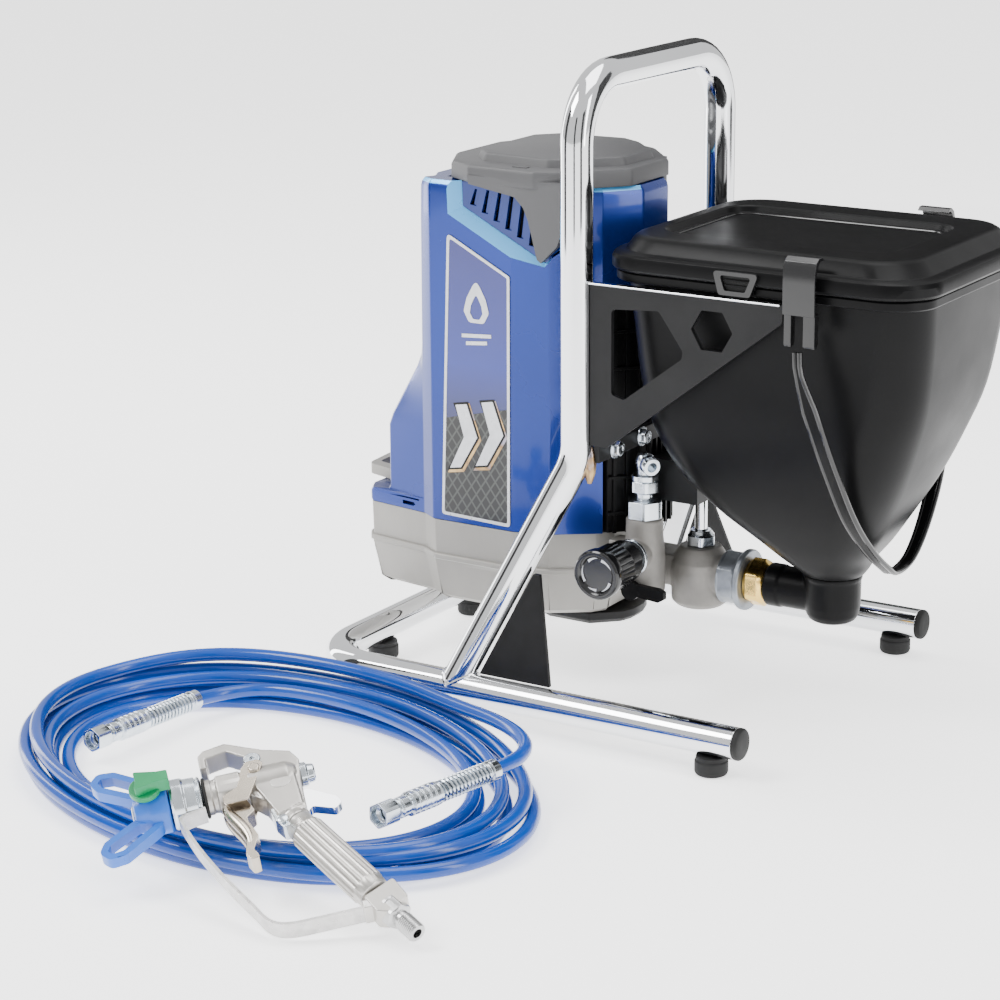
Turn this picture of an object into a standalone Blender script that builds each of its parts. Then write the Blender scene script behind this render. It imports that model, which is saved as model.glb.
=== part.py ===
"""Airless paint sprayer on a bent tube stand, with its hopper, hose and spray gun.

Lengths are in millimetres here and become metres in add(). X runs along the stand's legs to
their open ends, Y from the near leg to the far leg and Z up from the floor.
"""
import math

import bmesh
import bpy
from mathutils import Matrix, Vector
from mathutils.geometry import tessellate_polygon

MM = 0.001
GAP = 0.3                      # space kept between neighbours
ORIGIN = Vector((44.0, -206.6, 0.0))   # centre of the footprint, without the hose

# stand
TUBE_R = 12.7                  # one inch tube
TUBE_WALL = 1.6
LEG_Z = 28.0                   # height of the leg's axis
LEG_Y = 166.1
LEG_END_X = 193.0
CLOSED_X = -196.0
FOOT_X = -61.3                 # where the uprights are welded to the legs
UPRIGHT_X = 22.1
UPRIGHT_Y = 115.4
BEND_Z = 215.4
HANDLE_Z = 510.0
BEND_R = 50.0
SHEET = 4.0                    # plate thickness
BRACKET_TOP = 357.5
BRACKET_X0 = UPRIGHT_X + TUBE_R + GAP

# drive unit
WALL = 3.0
SHROUD_BOTTOM = 134.3
SHROUD_TOP = 416.5
CAP_TOP = 431.0
PARTING_Z = 104.0
MOTOR_Z = 236.0
GEAR_Z = 180.0
GEAR_R = 45.5
PINION_R = 10.2
GEAR_X = (-14.0, -4.0)

# pump
OUTLET_XY = (41.0, -40.0)
PUMP_XY = (71.0, 0.0)
KNOB_Z = 123.5
KNOB_R = 20.5
INLET_Z = 100.0
ROD_R = 5.0

# hopper
HOPPER_X = 190.0               # axis of its outlet
RIM_Z = 358.0
LID_Z = 366.5
BAIL_PIVOT = (214.0, 122.0, 324.0)

# hose and gun
HOSE_R = 5.5
COIL_CENTRE = Vector((-102.0, -354.0, 0.0))
COIL_SHIFT = Vector((-8.0, 0.0, 0.0))  # from the outer edge's centre to the inner edge's
COIL_TURN = math.radians(74.0)   # the oval coil's short axis in plan
COIL_SHORT = 165.0               # outer semi-axes, then inner
COIL_LONG = 246.0
COIL_INNER_SHORT = 120.0
COIL_INNER_LONG = 176.0
COIL_WIDTH = 60.0
COIL_RISE = 0.36
COIL_RISE_Y = 272.0
COIL_TOP = 33.4
GUN_ORIGIN = Vector((-7.2, -485.4, 63.0))
GUN_FORWARD = Vector((-0.74225, -0.64895, -0.16714))
GUN_DOWN = Vector((0.65431, -0.64796, -0.38991))
TRIGGER_PIVOT = (8.0, 2.0)
TIP_U = 84.0                   # the spray tip's axis along the barrel


# ---------------------------------------------------------------- materials

def look(name, rgb, rough, metal=0.0):
    """A named Principled material, made once."""
    found = bpy.data.materials.get(name)
    if found:
        return found
    made = bpy.data.materials.new(name)
    made.use_nodes = True
    shader = made.node_tree.nodes["Principled BSDF"]
    shader.inputs["Base Color"].default_value = (*rgb, 1.0)
    shader.inputs["Roughness"].default_value = rough
    shader.inputs["Metallic"].default_value = metal
    return made


def chrome():
    return look("chrome", (0.80, 0.80, 0.81), 0.06, 1.0)


def black_steel():
    return look("black_powder_coat", (0.02, 0.02, 0.02), 0.45)


def black_plastic():
    return look("black_plastic", (0.015, 0.015, 0.016), 0.3)


def rubber():
    return look("rubber", (0.02, 0.02, 0.02), 0.8)


def blue_plastic():
    return look("blue_plastic", (0.02, 0.07, 0.36), 0.3)


def grey_plastic():
    return look("grey_plastic", (0.19, 0.19, 0.20), 0.5)


def cast_alloy():
    return look("cast_alloy", (0.48, 0.47, 0.45), 0.5, 0.8)


def zinc():
    return look("zinc_plate", (0.62, 0.65, 0.68), 0.25, 1.0)


def brass():
    return look("brass", (0.75, 0.50, 0.16), 0.2, 1.0)


def steel():
    return look("steel", (0.55, 0.55, 0.56), 0.3, 1.0)


def hose_blue():
    return look("hose_blue", (0.01, 0.12, 0.62), 0.2)


def guard_blue():
    return look("guard_blue", (0.03, 0.20, 0.62), 0.35)


def tip_green():
    return look("tip_green", (0.0, 0.42, 0.19), 0.35)


# ---------------------------------------------------------------- building

def add(name, verts, faces, material, pivot=(0.0, 0.0, 0.0)):
    """One closed body from points in millimetres, with its origin at pivot."""
    origin = Vector(pivot)
    mesh = bpy.data.meshes.new(name)
    bm = bmesh.new()
    made = [bm.verts.new((Vector(v) - origin) * MM) for v in verts]
    for face in faces:
        bm.faces.new([made[i] for i in face])
    bmesh.ops.recalc_face_normals(bm, faces=bm.faces)
    bm.to_mesh(mesh)
    bm.free()
    mesh.shade_smooth()
    mesh.set_sharp_from_angle(angle=math.radians(35.0))
    mesh.materials.append(material)
    made_object = bpy.data.objects.new(name, mesh)
    made_object.location = (origin - ORIGIN) * MM
    bpy.context.scene.collection.objects.link(made_object)
    return made_object


def skin(name, rings, material, loop=False, pivot=(0.0, 0.0, 0.0)):
    """Walls between rings of equal length, with the ends capped, or joined in a loop."""
    count = len(rings[0])
    verts = [point for ring in rings for point in ring]
    faces = []
    last = len(rings) if loop else len(rings) - 1
    for i in range(last):
        below = i * count
        above = (i + 1) % len(rings) * count
        for k in range(count):
            j = (k + 1) % count
            faces.append((below + k, below + j, above + j, above + k))
    if not loop:
        faces.append(tuple(range(count)))
        faces.append(tuple(range(len(verts) - count, len(verts))))
    return add(name, verts, faces, material, pivot)


def axes_for(direction):
    """Two unit vectors square to a direction."""
    along = Vector(direction).normalized()
    guide = Vector((0, 0, 1)) if abs(along.z) < 0.9 else Vector((1, 0, 0))
    side = guide.cross(along).normalized()
    return along, side, along.cross(side)


def circle(centre, direction, radius, sides=20, turn=0.0):
    along, side, other = axes_for(direction)
    ring = []
    for k in range(sides):
        angle = 2 * math.pi * k / sides + turn
        ring.append(Vector(centre) + radius * (math.cos(angle) * side + math.sin(angle) * other))
    return ring


def hexagon(centre, direction, across, sides=24):
    """A hexagon with that size across its flats, as many points as its round neighbours."""
    along, side, other = axes_for(direction)
    ring = []
    for k in range(sides):
        angle = 2 * math.pi * k / sides
        folded = (angle + math.pi / 6) % (math.pi / 3) - math.pi / 6
        radius = across / 2 / math.cos(folded)
        ring.append(Vector(centre) + radius * (math.cos(angle) * side + math.sin(angle) * other))
    return ring


def turned(name, start, direction, profile, material, loop=False, sides=20, pivot=(0, 0, 0)):
    """A turned piece: profile lists (distance along, radius), or (distance, across flats, "hex")."""
    along = Vector(direction).normalized()
    rings = []
    for step in profile:
        centre = Vector(start) + along * step[0]
        if len(step) == 3:
            rings.append(hexagon(centre, along, step[1], sides))
        else:
            rings.append(circle(centre, along, step[1], sides))
    return skin(name, rings, material, loop, pivot)


def sweep(name, path, radii, material, sides=16, wall=0.0, pivot=(0, 0, 0)):
    """A round bar or tube along a path."""
    points = [Vector(p) for p in path]
    if not isinstance(radii, (list, tuple)):
        radii = [radii] * len(points)
    tangents = []
    for i in range(len(points)):
        before = points[max(i - 1, 0)]
        after = points[min(i + 1, len(points) - 1)]
        tangents.append((after - before).normalized())
    side = axes_for(tangents[0])[1]
    outer = []
    inner = []
    for point, tangent, radius in zip(points, tangents, radii):
        side = (side - tangent * side.dot(tangent)).normalized()
        other = tangent.cross(side)
        spokes = []
        for k in range(sides):
            angle = 2 * math.pi * k / sides
            spokes.append(math.cos(angle) * side + math.sin(angle) * other)
        outer.append([point + radius * s for s in spokes])
        inner.append([point + (radius - wall) * s for s in spokes])
    if wall:
        return skin(name, outer + inner[::-1], material, loop=True, pivot=pivot)
    return skin(name, outer, material, pivot=pivot)


def rounded(points, radius, steps=5):
    """A path through corner points, each inner corner turned on an arc of that radius."""
    corners = [Vector(p) for p in points]
    path = [corners[0]]
    for before, corner, after in zip(corners, corners[1:], corners[2:]):
        u = (before - corner).normalized()
        v = (after - corner).normalized()
        half = u.angle(v) / 2
        reach = radius / math.tan(half)
        centre = corner + (u + v).normalized() * radius / math.sin(half)
        a = corner + u * reach - centre
        b = corner + v * reach - centre
        for k in range(steps + 1):
            path.append(centre + a.slerp(b, k / steps).normalized() * radius)
    path.append(corners[-1])
    return path


def filleted(points, radius, steps=3):
    """A closed flat outline with its corners rounded."""
    count = len(points)
    outline = []
    for i, corner in enumerate(points):
        c = Vector(corner)
        u = (Vector(points[i - 1]) - c).normalized()
        v = (Vector(points[(i + 1) % count]) - c).normalized()
        half = u.angle(v) / 2
        reach = radius / math.tan(half)
        for k in range(steps + 1):
            t = k / steps
            a = c + u * reach
            b = c + v * reach
            outline.append((1 - t) ** 2 * a + 2 * t * (1 - t) * c + t ** 2 * b)
    return outline


def rectangle(x0, x1, y0, y1, radius, z, steps=4):
    """A level rounded rectangle as a ring of points."""
    ring = []
    corners = ((x1, y1, 0), (x0, y1, 90), (x0, y0, 180), (x1, y0, 270))
    for x, y, start in corners:
        cx = x - math.copysign(radius, x - (x0 + x1) / 2)
        cy = y - math.copysign(radius, y - (y0 + y1) / 2)
        for k in range(steps + 1):
            angle = math.radians(start + 90 * k / steps)
            ring.append(Vector((cx + radius * math.cos(angle), cy + radius * math.sin(angle), z)))
    return ring


def inset(outline, distance):
    """A flat outline moved inwards by a distance."""
    moved = []
    count = len(outline)
    middle = sum((Vector(p) for p in outline), Vector((0, 0))) / count
    for i, point in enumerate(outline):
        p = Vector(point)
        u = (p - Vector(outline[i - 1])).normalized()
        v = (Vector(outline[(i + 1) % count]) - p).normalized()
        normal = Vector((u.y + v.y, -u.x - v.x)).normalized()
        if normal.dot(middle - p) < 0:
            normal = -normal
        cosine = max(0.5, abs(Vector((u.y, -u.x)).dot(normal)))
        moved.append(p + normal * distance / cosine)
    return moved


def mirrored(half):
    """A whole outline from its near half, left to right."""
    return [tuple(p) for p in half] + [(x, -y) for x, y in reversed(half)]


def level(outline, z):
    return [Vector((p[0], p[1], z)) for p in outline]


def plate(name, outline, thickness, place, material, holes=(), pivot=(0, 0, 0)):
    """A flat plate with holes. place(u, v, w) gives the world point, and w runs 0 to thickness."""
    loops = [list(outline)] + [list(h) for h in holes]
    flat = [Vector((p[0], p[1], 0)) for loop in loops for p in loop]
    triangles = tessellate_polygon([[Vector((p[0], p[1], 0)) for p in loop] for loop in loops])
    total = len(flat)
    verts = [place(p.x, p.y, 0) for p in flat] + [place(p.x, p.y, thickness) for p in flat]
    faces = [tuple(t) for t in triangles]
    faces += [tuple(i + total for i in reversed(t)) for t in triangles]
    start = 0
    for loop in loops:
        for k in range(len(loop)):
            a = start + k
            b = start + (k + 1) % len(loop)
            faces.append((a, b, b + total, a + total))
        start += len(loop)
    return add(name, verts, faces, material, pivot)


def boolean(target, operation, tools):
    """Cuts or joins target with hidden tools."""
    for tool in tools:
        tool.hide_render = True
        tool.display_type = "WIRE"
        change = target.modifiers.new(tool.name, "BOOLEAN")
        change.operation = operation
        change.solver = "EXACT"
        change.object = tool


def bar(name, a, b, radius, sides=20):
    """A hidden round bar for a Boolean."""
    return sweep(name, (a, b), radius, steel(), sides)


def block(name, low, high, material=None):
    x0, y0, z0 = low
    x1, y1, z1 = high
    base = [(x0, y0), (x1, y0), (x1, y1), (x0, y1)]
    return skin(name, [level(base, z0), level(base, z1)], material or steel())


def xz(y0, away=1):
    """Places a plate drawn in X and Z, with its thickness running along Y."""
    return lambda u, v, w: Vector((u, y0 + away * w, v))


SIDES = (("near", -1), ("far", 1))


# ---------------------------------------------------------------- stand

def base_tube():
    corners = [(LEG_END_X, -LEG_Y, LEG_Z), (CLOSED_X, -LEG_Y, LEG_Z)]
    corners += [(CLOSED_X, LEG_Y, LEG_Z), (LEG_END_X, LEG_Y, LEG_Z)]
    sweep("base_tube", rounded(corners, BEND_R), TUBE_R, chrome(), 16, TUBE_WALL)


def handle_tube():
    corners = [(FOOT_X, -LEG_Y, LEG_Z), (UPRIGHT_X, -UPRIGHT_Y, BEND_Z)]
    corners += [(UPRIGHT_X, -UPRIGHT_Y, HANDLE_Z), (UPRIGHT_X, UPRIGHT_Y, HANDLE_Z)]
    corners += [(UPRIGHT_X, UPRIGHT_Y, BEND_Z), (FOOT_X, LEG_Y, LEG_Z)]
    tube = sweep("handle_tube", rounded(corners, BEND_R), TUBE_R, chrome(), 16, TUBE_WALL)
    tools = []
    for name, side in SIDES:
        a = (CLOSED_X + BEND_R, side * LEG_Y, LEG_Z)
        b = (LEG_END_X, side * LEG_Y, LEG_Z)
        tools.append(bar("cope_" + name, a, b, TUBE_R + GAP, 32))
    boolean(tube, "DIFFERENCE", tools)


def leg_caps():
    plug = TUBE_R - TUBE_WALL - GAP
    profile = [(-14, plug), (GAP, plug), (GAP, TUBE_R), (3.5, TUBE_R), (5, TUBE_R - 2)]
    for name, side in SIDES:
        start = (LEG_END_X, side * LEG_Y, LEG_Z)
        turned("leg_cap_" + name, start, (1, 0, 0), profile, rubber(), sides=16)


def feet():
    top = LEG_Z - TUBE_R - GAP
    profile = [(0, 11.5), (2, 13), (top, 13)]
    for name, side in SIDES:
        for end, x, y in (("open", 171.0, LEG_Y), ("closed", CLOSED_X, 70.0)):
            turned("foot_%s_%s" % (name, end), (x, side * y, 0), (0, 0, 1), profile, rubber())


def gussets():
    """Triangular plates in the corner of each upright and its leg."""
    slope = Vector((UPRIGHT_X - FOOT_X, 0, BEND_Z - LEG_Z))
    inward = (UPRIGHT_Y - LEG_Y) / (BEND_Z - LEG_Z)
    low = TUBE_R + GAP + 0.4
    beside = (TUBE_R + GAP + 2.0) / math.cos(math.atan2(slope.x, slope.z))
    foot = FOOT_X + slope.x / slope.z * low + beside
    apex = FOOT_X + slope.x / slope.z * 96 + beside
    outline = [(foot, low), (26.0, low), (apex + 6, 96), (apex, 96)]
    for name, side in SIDES:
        def place(u, v, w, side=side):
            return Vector((u, side * (LEG_Y + inward * v - SHEET / 2 + w), LEG_Z + v))
        plate("gusset_" + name, outline, SHEET, place, black_steel())


def hopper_brackets():
    x0 = BRACKET_X0
    outline = [(x0, BRACKET_TOP), (199, BRACKET_TOP), (199, 343), (109, 273.4), (50, 228), (x0, 228)]
    window = filleted([(54, 338), (95, 341), (116, 312), (115, 306), (65, 268), (54, 271)], 3)
    hexagonal = []
    for k in range(6):
        angle = math.pi / 3 * k
        hexagonal.append((140.4 + 17.5 * math.cos(angle), 330.6 + 17.5 * math.sin(angle)))
    for name, side in SIDES:
        place = xz(side * (UPRIGHT_Y - SHEET / 2), side)
        plate("hopper_bracket_" + name, outline, SHEET, place, black_steel(), [window, hexagonal])


def mount_bar():
    """Flat bar between the uprights, which the drive unit is bolted to."""
    low = (BRACKET_X0, -UPRIGHT_Y + 3, 213)
    high = (BRACKET_X0 + 5.5, UPRIGHT_Y - 3, 227)
    block("mount_bar", low, high, black_steel())


# ---------------------------------------------------------------- drive unit

BODY_FRONT = [(-152, -70), (-137, -79.5), (-60, -79.5), (-29, -72), (6, -48)]


def body_outline(left, grow=0.0):
    """Plan of the drive unit, whose left end moves with height."""
    half = [(left - 5, -48), (left + 2, -61)] + BODY_FRONT + [(27, -20)]
    return inset(mirrored(half), -grow) if grow else mirrored(half)


def drive_housing():
    half = [(-220, -50), (-212, -62), (-152, -71), (-136, -81), (-60, -81), (-30, -73), (2, -50)]
    outline = mirrored(half + [(12, -36)])
    rings = [level(inset(outline, 16), 62), level(inset(outline, 11), 66)]
    rings += [level(inset(outline, 3), 97), level(outline, 101), level(outline, PARTING_Z)]
    rings += [level(inset(outline, 1.5), PARTING_Z + 1.5), level(inset(outline, 1.5), SHROUD_BOTTOM - 0.6)]
    rings += [level(inset(outline, 5), SHROUD_BOTTOM - 0.6), level(inset(outline, 15), 68)]
    skin("drive_housing", rings, cast_alloy())


def shroud():
    steps = [(SHROUD_BOTTOM, -214), (146, -214), (147.5, -194), (203, -194), (225, -183)]
    steps += [(256, -165), (279, -159), (316, -157), (383, -154), (410, -150), (SHROUD_TOP, -146)]
    rings = [level(body_outline(left), z) for z, left in reversed(steps)]
    for z, left in steps[:-1]:
        rings.append(level(inset(body_outline(left), WALL), z))
    made = skin("shroud", rings, blue_plastic())
    notch = [(-112, 440), (-110, 396), (-33, 357), (-14, 372), (-6, 400), (-6, 440)]
    tools = [plate("notch_tool", notch, 240, xz(-120), steel())]
    tools.append(block("back_tool", (-2, -47.6, 120), (60, 47.6, 332)))
    boolean(made, "DIFFERENCE", tools)


def top_cap():
    half = [(-142, -32), (-124, -66), (-100, -79), (-38, -82), (-10, -68), (22, -30)]
    outline = mirrored(half)
    rings = [level(outline, SHROUD_TOP + 0.6), level(outline, 423), level(inset(outline, 3), 426)]
    rings += [level(inset(outline, 22), CAP_TOP)]
    under = [level(inset(outline, 24), CAP_TOP - WALL), level(inset(outline, WALL), 422)]
    under += [level(inset(outline, WALL), SHROUD_TOP + 0.6)]
    made = skin("top_cap", under + rings, grey_plastic())
    tongue = [(-62, 421), (-52, 411), (-44, 402), (-35, 360), (-32, 358.5), (-17, 373), (-9, 400)]
    tongue += [(-9, 421)]
    tools = []
    for name, side in SIDES:
        tools.append(plate("tongue_" + name, tongue, 6, xz(side * 73, side), steel()))
    boolean(made, "UNION", tools)


def vent_grille():
    """A slotted louvre on each side, joined by a bar under the cap."""
    outline = [(-110.2, 416), (-109.5, 396.4), (-34, 358.2), (-15, 373), (-7, 399), (-7, 416)]
    slots = []
    for k in range(6):
        top = -98.0 + 11.0 * k
        low = top - 5.0
        bottom = 398.0 - 5.6 * k
        slots.append([(low, bottom), (low + 6, bottom - 1), (top + 6, 410), (top, 411)])
    made = plate("vent_grille", outline, 3, xz(-71.5), blue_plastic(), slots)
    far = plate("far_louvre", outline, 3, xz(68.5), steel(), slots)
    tie = block("louvre_tie", (-40, -70, 412.5), (-28, 70, 415.5))
    boolean(made, "UNION", [far, tie])


def rear_housing():
    """Ribbed black casing over the gears, with a bore for the crankshaft."""
    corners = [(-1, -44), (9, -44), (31, -21), (31, 21), (9, 44), (-1, 44)]
    outline = [corners[0], corners[1]]
    for a, b, ribs in ((1, 2, 3), (2, 3, 5), (3, 4, 3)):
        start = Vector(corners[a])
        run = Vector(corners[b]) - start
        out = Vector((run.y, -run.x)).normalized() * 3.0
        for k in range(ribs):
            for t, lift in ((k + 0.32, 0), (k + 0.36, 1), (k + 0.62, 1), (k + 0.66, 0)):
                outline.append(tuple(start + run * (t / ribs) + out * lift))
        outline.append(corners[b])
    outline.append(corners[5])
    made = skin("rear_housing", [level(outline, 134.6), level(outline, 330)], black_plastic())
    boolean(made, "DIFFERENCE", [bar("shaft_tool", (-20, 0, GEAR_Z), (50, 0, GEAR_Z), 7)])


def motor():
    """Motor case, and its rotor with the pinion on its shaft."""
    start = (-128, 0, MOTOR_Z)
    case = [(0, 36), (102, 36), (102, 6), (99, 6), (99, 32), (3, 32), (3, 6), (0, 6)]
    turned("motor_case", start, (1, 0, 0), case, steel(), loop=True)
    rotor = [(-5, 4), (6, 4), (8, 28), (94, 28), (96, 4), (114, 4), (114, PINION_R), (124, PINION_R)]
    turned("motor_rotor", start, (1, 0, 0), rotor, steel(), pivot=start)


def cooling_fan():
    blades = []
    for k in range(9):
        for turn, radius in ((0.0, 10), (0.12, 33), (0.24, 33), (0.36, 10)):
            angle = 2 * math.pi * k / 9 + turn
            blades.append((radius * math.cos(angle), MOTOR_Z + radius * math.sin(angle)))
    plate("cooling_fan", blades, 8, lambda u, v, w: Vector((-141.6 + w, u, v)), black_plastic())


def drive_gear():
    width = GEAR_X[1] - GEAR_X[0]
    start = (GEAR_X[0], 0, GEAR_Z)
    turned("drive_gear", start, (1, 0, 0), [(0, GEAR_R), (width, GEAR_R)], steel(), sides=32)


def crankshaft():
    start = (GEAR_X[1] + GAP, 0, GEAR_Z)
    profile = [(0, 6), (53, 6), (53, 11), (59, 11)]
    made = turned("crankshaft", start, (1, 0, 0), profile, steel())
    pin = bar("crank_pin", (52, 0, GEAR_Z + 6), (61.5, 0, GEAR_Z + 6), 3.5, 12)
    boolean(made, "UNION", [pin])


def crank_housing():
    profile = [(36, 163), (80, 163), (80, 184), (68, 197), (36, 197)]
    made = plate("crank_housing", profile, 48, xz(-24), black_steel())
    cavity = [(30, 166.5), (76.8, 166.5), (76.8, 182), (66, 193.5), (30, 193.5)]
    tools = [plate("crank_cavity", cavity, 38, xz(-19), steel())]
    tools.append(bar("rod_tool", (*PUMP_XY, 150), (*PUMP_XY, 175), ROD_R + 0.7))
    boolean(made, "DIFFERENCE", tools)


def base_plate():
    outline = mirrored([(-62, -34), (-52, -40), (-11, -40), (10, -20), (14, -8)])
    inner = inset(outline, 4)
    skin("base_plate", [level(inner, 51), level(outline, 55), level(outline, 61.4)], black_steel())


def switch_and_gland():
    """Rocker switch and the power cord's gland, on the far side."""
    y = 79.5 + GAP
    rocker = [(-9, 2.6), (0, 0), (9, 0.2), (9, 4.4), (0, 3.4), (-9, 6.9)]

    def place(u, v, w):
        return Vector((-106 + w, y + v, 290 + u))

    plate("power_switch", rocker, 12, place, black_plastic(), pivot=(-100, y, 290))
    profile = [(0, 9), (5, 9), (5, 7), (24, 5), (24, 3.4), (2, 3.4)]
    turned("cord_gland", (-100, y, 170), (0, 1, 0), profile, rubber(), sides=16)


# ---------------------------------------------------------------- pump

def outlet_manifold():
    """Cast column under the outlet fitting, with a boss for the pressure knob."""
    x, y = OUTLET_XY
    profile = [(0, 14), (3, 17), (34, 17), (50, 15), (65, 15)]
    made = turned("outlet_manifold", (x, y, 87), (0, 0, 1), profile, cast_alloy())
    boss = turned("knob_boss", (x, y, KNOB_Z), (0, -1, 0), [(0, 13), (20, 13), (24, 11)], steel())
    arm = block("manifold_arm", (13, y - 10, 106), (x, y + 8, 131))
    boolean(made, "UNION", [boss, arm])


def outlet_fitting():
    profile = [(0, 27, "hex"), (15, 27, "hex"), (16, 6.5), (21, 6.5), (21.5, 21, "hex")]
    profile += [(35, 21, "hex"), (35, 4), (0, 4)]
    turned("outlet_fitting", (*OUTLET_XY, 152.3), (0, 0, 1), profile, zinc(), loop=True, sides=24)


def outlet_swivel():
    """Elbow that turns on top of the outlet fitting."""
    x, y = OUTLET_XY
    foot = (x, y, 187.6)
    post = [(0, 6.5), (4, 6.5), (7, 7.5), (15, 7.5), (18, 5)]
    made = turned("outlet_swivel", foot, (0, 0, 1), post, zinc(), pivot=foot)
    away = Vector((0.82, -0.56, -0.12)).normalized()
    start = Vector((x, y, 197.5))
    nozzle = turned("nozzle", start, away, [(-6, 6.4), (4, 6.4), (5, 7.4), (13, 7.4)], steel())
    bore = bar("nozzle_bore", start + away * 3, start + away * 20, 4.2, 16)
    boolean(made, "UNION", [nozzle])
    boolean(made, "DIFFERENCE", [bore])


def pressure_knob():
    x, y = OUTLET_XY
    front = (x, -119, KNOB_Z)
    profile = [(2.5, 14.5), (0, 16.5), (0, 18.5), (2, KNOB_R), (9, KNOB_R), (11, 19), (31, 19)]
    profile += [(32, 17.5), (46, 17.5), (48, 12), (54.5, 12)]
    turned("pressure_knob", front, (0, 1, 0), profile, black_plastic(), sides=24, pivot=front)


def prime_lever():
    """Drain valve lever under the knob."""
    x = OUTLET_XY[0]
    pivot = (x, -57.5, 96)
    hub = [(0, 5), (2, 8), (7, 8)]
    made = turned("prime_lever", (x, -57.4, 96), (0, -1, 0), hub, black_plastic(), pivot=pivot)
    arm = [(0, -4), (26, -6), (31, -3), (31, 3), (26, 5), (0, 6)]
    tool = plate("lever_arm", arm, 5, lambda u, v, w: Vector((x + u, -64.2 + w, 96 + v)), steel())
    boolean(made, "UNION", [tool])


def pump_cylinder():
    """Cast pump body with the inlet boss and the piston rod's bore."""
    x, y = PUMP_XY
    profile = [(0, 20), (4, 24), (34, 24.3), (44, 23), (50.5, 17)]
    made = turned("pump_cylinder", (x, y, 72.5), (0, 0, 1), profile, cast_alloy(), sides=24)
    boss = turned("inlet_boss", (x, y, INLET_Z), (1, 0, 0), [(0, 18), (24, 18), (24.2, 14), (46, 14)], steel())
    foot = block("pump_foot", (13, -16, 88), (x, 16, 116))
    boolean(made, "UNION", [boss, foot])
    bore = bar("rod_bore", (x, y, 78), (x, y, 140), ROD_R + 0.5)
    inlet = bar("inlet_bore", (x, y, INLET_Z), (x + 60, y, INLET_Z), 9)
    boolean(made, "DIFFERENCE", [bore, inlet])


def packing_nut():
    profile = [(0, 22, "hex"), (9, 22, "hex"), (12.5, 9), (12.5, ROD_R + 0.5), (0, ROD_R + 0.5)]
    turned("packing_nut", (*PUMP_XY, 123.4), (0, 0, 1), profile, zinc(), loop=True, sides=24)


def piston_rod():
    start = (*PUMP_XY, 87)
    turned("piston_rod", start, (0, 0, 1), [(0, ROD_R), (86, ROD_R)], chrome(), pivot=start)


def inlet_fittings():
    """Union nut and brass adapter between the pump and the hopper's elbow."""
    x, y = PUMP_XY
    start = (x + 24.6, y, INLET_Z)
    nut = [(0, 40, "hex"), (15, 40, "hex"), (16, 25), (21.5, 25), (21.5, 14.6), (0, 14.6)]
    turned("union_nut", start, (1, 0, 0), nut, zinc(), loop=True, sides=24, pivot=start)
    start = (x + 46.6, y, INLET_Z)
    adapter = [(0, 17), (2, 36, "hex"), (15, 36, "hex"), (17, 17), (17, 9), (0, 9)]
    turned("brass_adapter", start, (1, 0, 0), adapter, brass(), loop=True, sides=24)


# ---------------------------------------------------------------- hopper

def hopper_elbow():
    """Elbow under the bowl: a pipe into the side of an upright cup."""
    x0 = PUMP_XY[0] + 64
    cup = [(78, 15), (81, 20), (90, 22.5), (118, 22.5)]
    made = turned("hopper_elbow", (HOPPER_X, 0, 0), (0, 0, 1), cup, black_plastic(), sides=24)
    pipe = bar("elbow_pipe", (x0, 0, INLET_Z), (HOPPER_X, 0, INLET_Z), 17.5, 24)
    boolean(made, "UNION", [pipe])
    bores = [bar("elbow_bore", (x0 - 5, 0, INLET_Z), (HOPPER_X, 0, INLET_Z), 11)]
    bores.append(bar("cup_bore", (HOPPER_X, 0, 88), (HOPPER_X, 0, 125), 14))
    boolean(made, "DIFFERENCE", bores)


# height, left, right, half width and corner radius of each level of the bowl
BOWL = ((118.4, 166, 214, 24, 24), (124, 160, 218, 30, 28), (133, 149, 222, 37, 30))
BOWL += ((148, 131, 233, 47, 34), (172, 100, 247, 60, 38), (202, 73, 263, 73, 40))
BOWL += ((236, 56, 277, 83, 40), (272, 50, 289, 90, 38), (319, 47, 296, 95, 36), (RIM_Z, 45, 299, 99, 34))


def hopper():
    rings = []
    for z, x0, x1, half, radius in BOWL:
        rings.append(rectangle(x0, x1, -half, half, radius, z))
    rings.append(rectangle(40, 304, -111, 111, 34, RIM_Z))
    rings.append(rectangle(40, 304, -111, 111, 34, LID_Z - 0.5))
    rings.append(rectangle(48, 296, -96, 96, 31, LID_Z - 0.5))
    for z, x0, x1, half, radius in reversed(BOWL[1:]):
        rings.append(rectangle(x0 + WALL, x1 - WALL, -half + WALL, half - WALL, radius - WALL, z))
    hole = 14
    rings.append(rectangle(HOPPER_X - hole, HOPPER_X + hole, -hole, hole, hole, 121))
    rings.append(rectangle(HOPPER_X - hole, HOPPER_X + hole, -hole, hole, hole, 118.4))
    skin("hopper", rings, black_plastic(), loop=True)


def strainer():
    """Shallow filter cup in the bottom of the bowl."""
    turned("strainer", (HOPPER_X - 3, 0, 126), (0, 0, 1), [(0, 20), (6, 20), (6, 17), (1.5, 17)], steel())


def lid():
    rings = [rectangle(68, 256, -64, 64, 18, 385), rectangle(64, 260, -68, 68, 22, 392)]
    rings += [rectangle(52, 287, -99, 99, 34, 392.5), rectangle(48, 291, -103, 103, 36, 390)]
    rings += [rectangle(44, 298, -108, 108, 38, 380.5), rectangle(37, 307, -114, 114, 40, 379)]
    rings += [rectangle(36, 308, -115, 115, 40, 376), rectangle(36, 308, -115, 115, 40, LID_Z)]
    rings += [rectangle(52, 292, -100, 100, 32, LID_Z), rectangle(58, 286, -94, 94, 30, 381)]
    skin("lid", rings, black_plastic())


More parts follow.
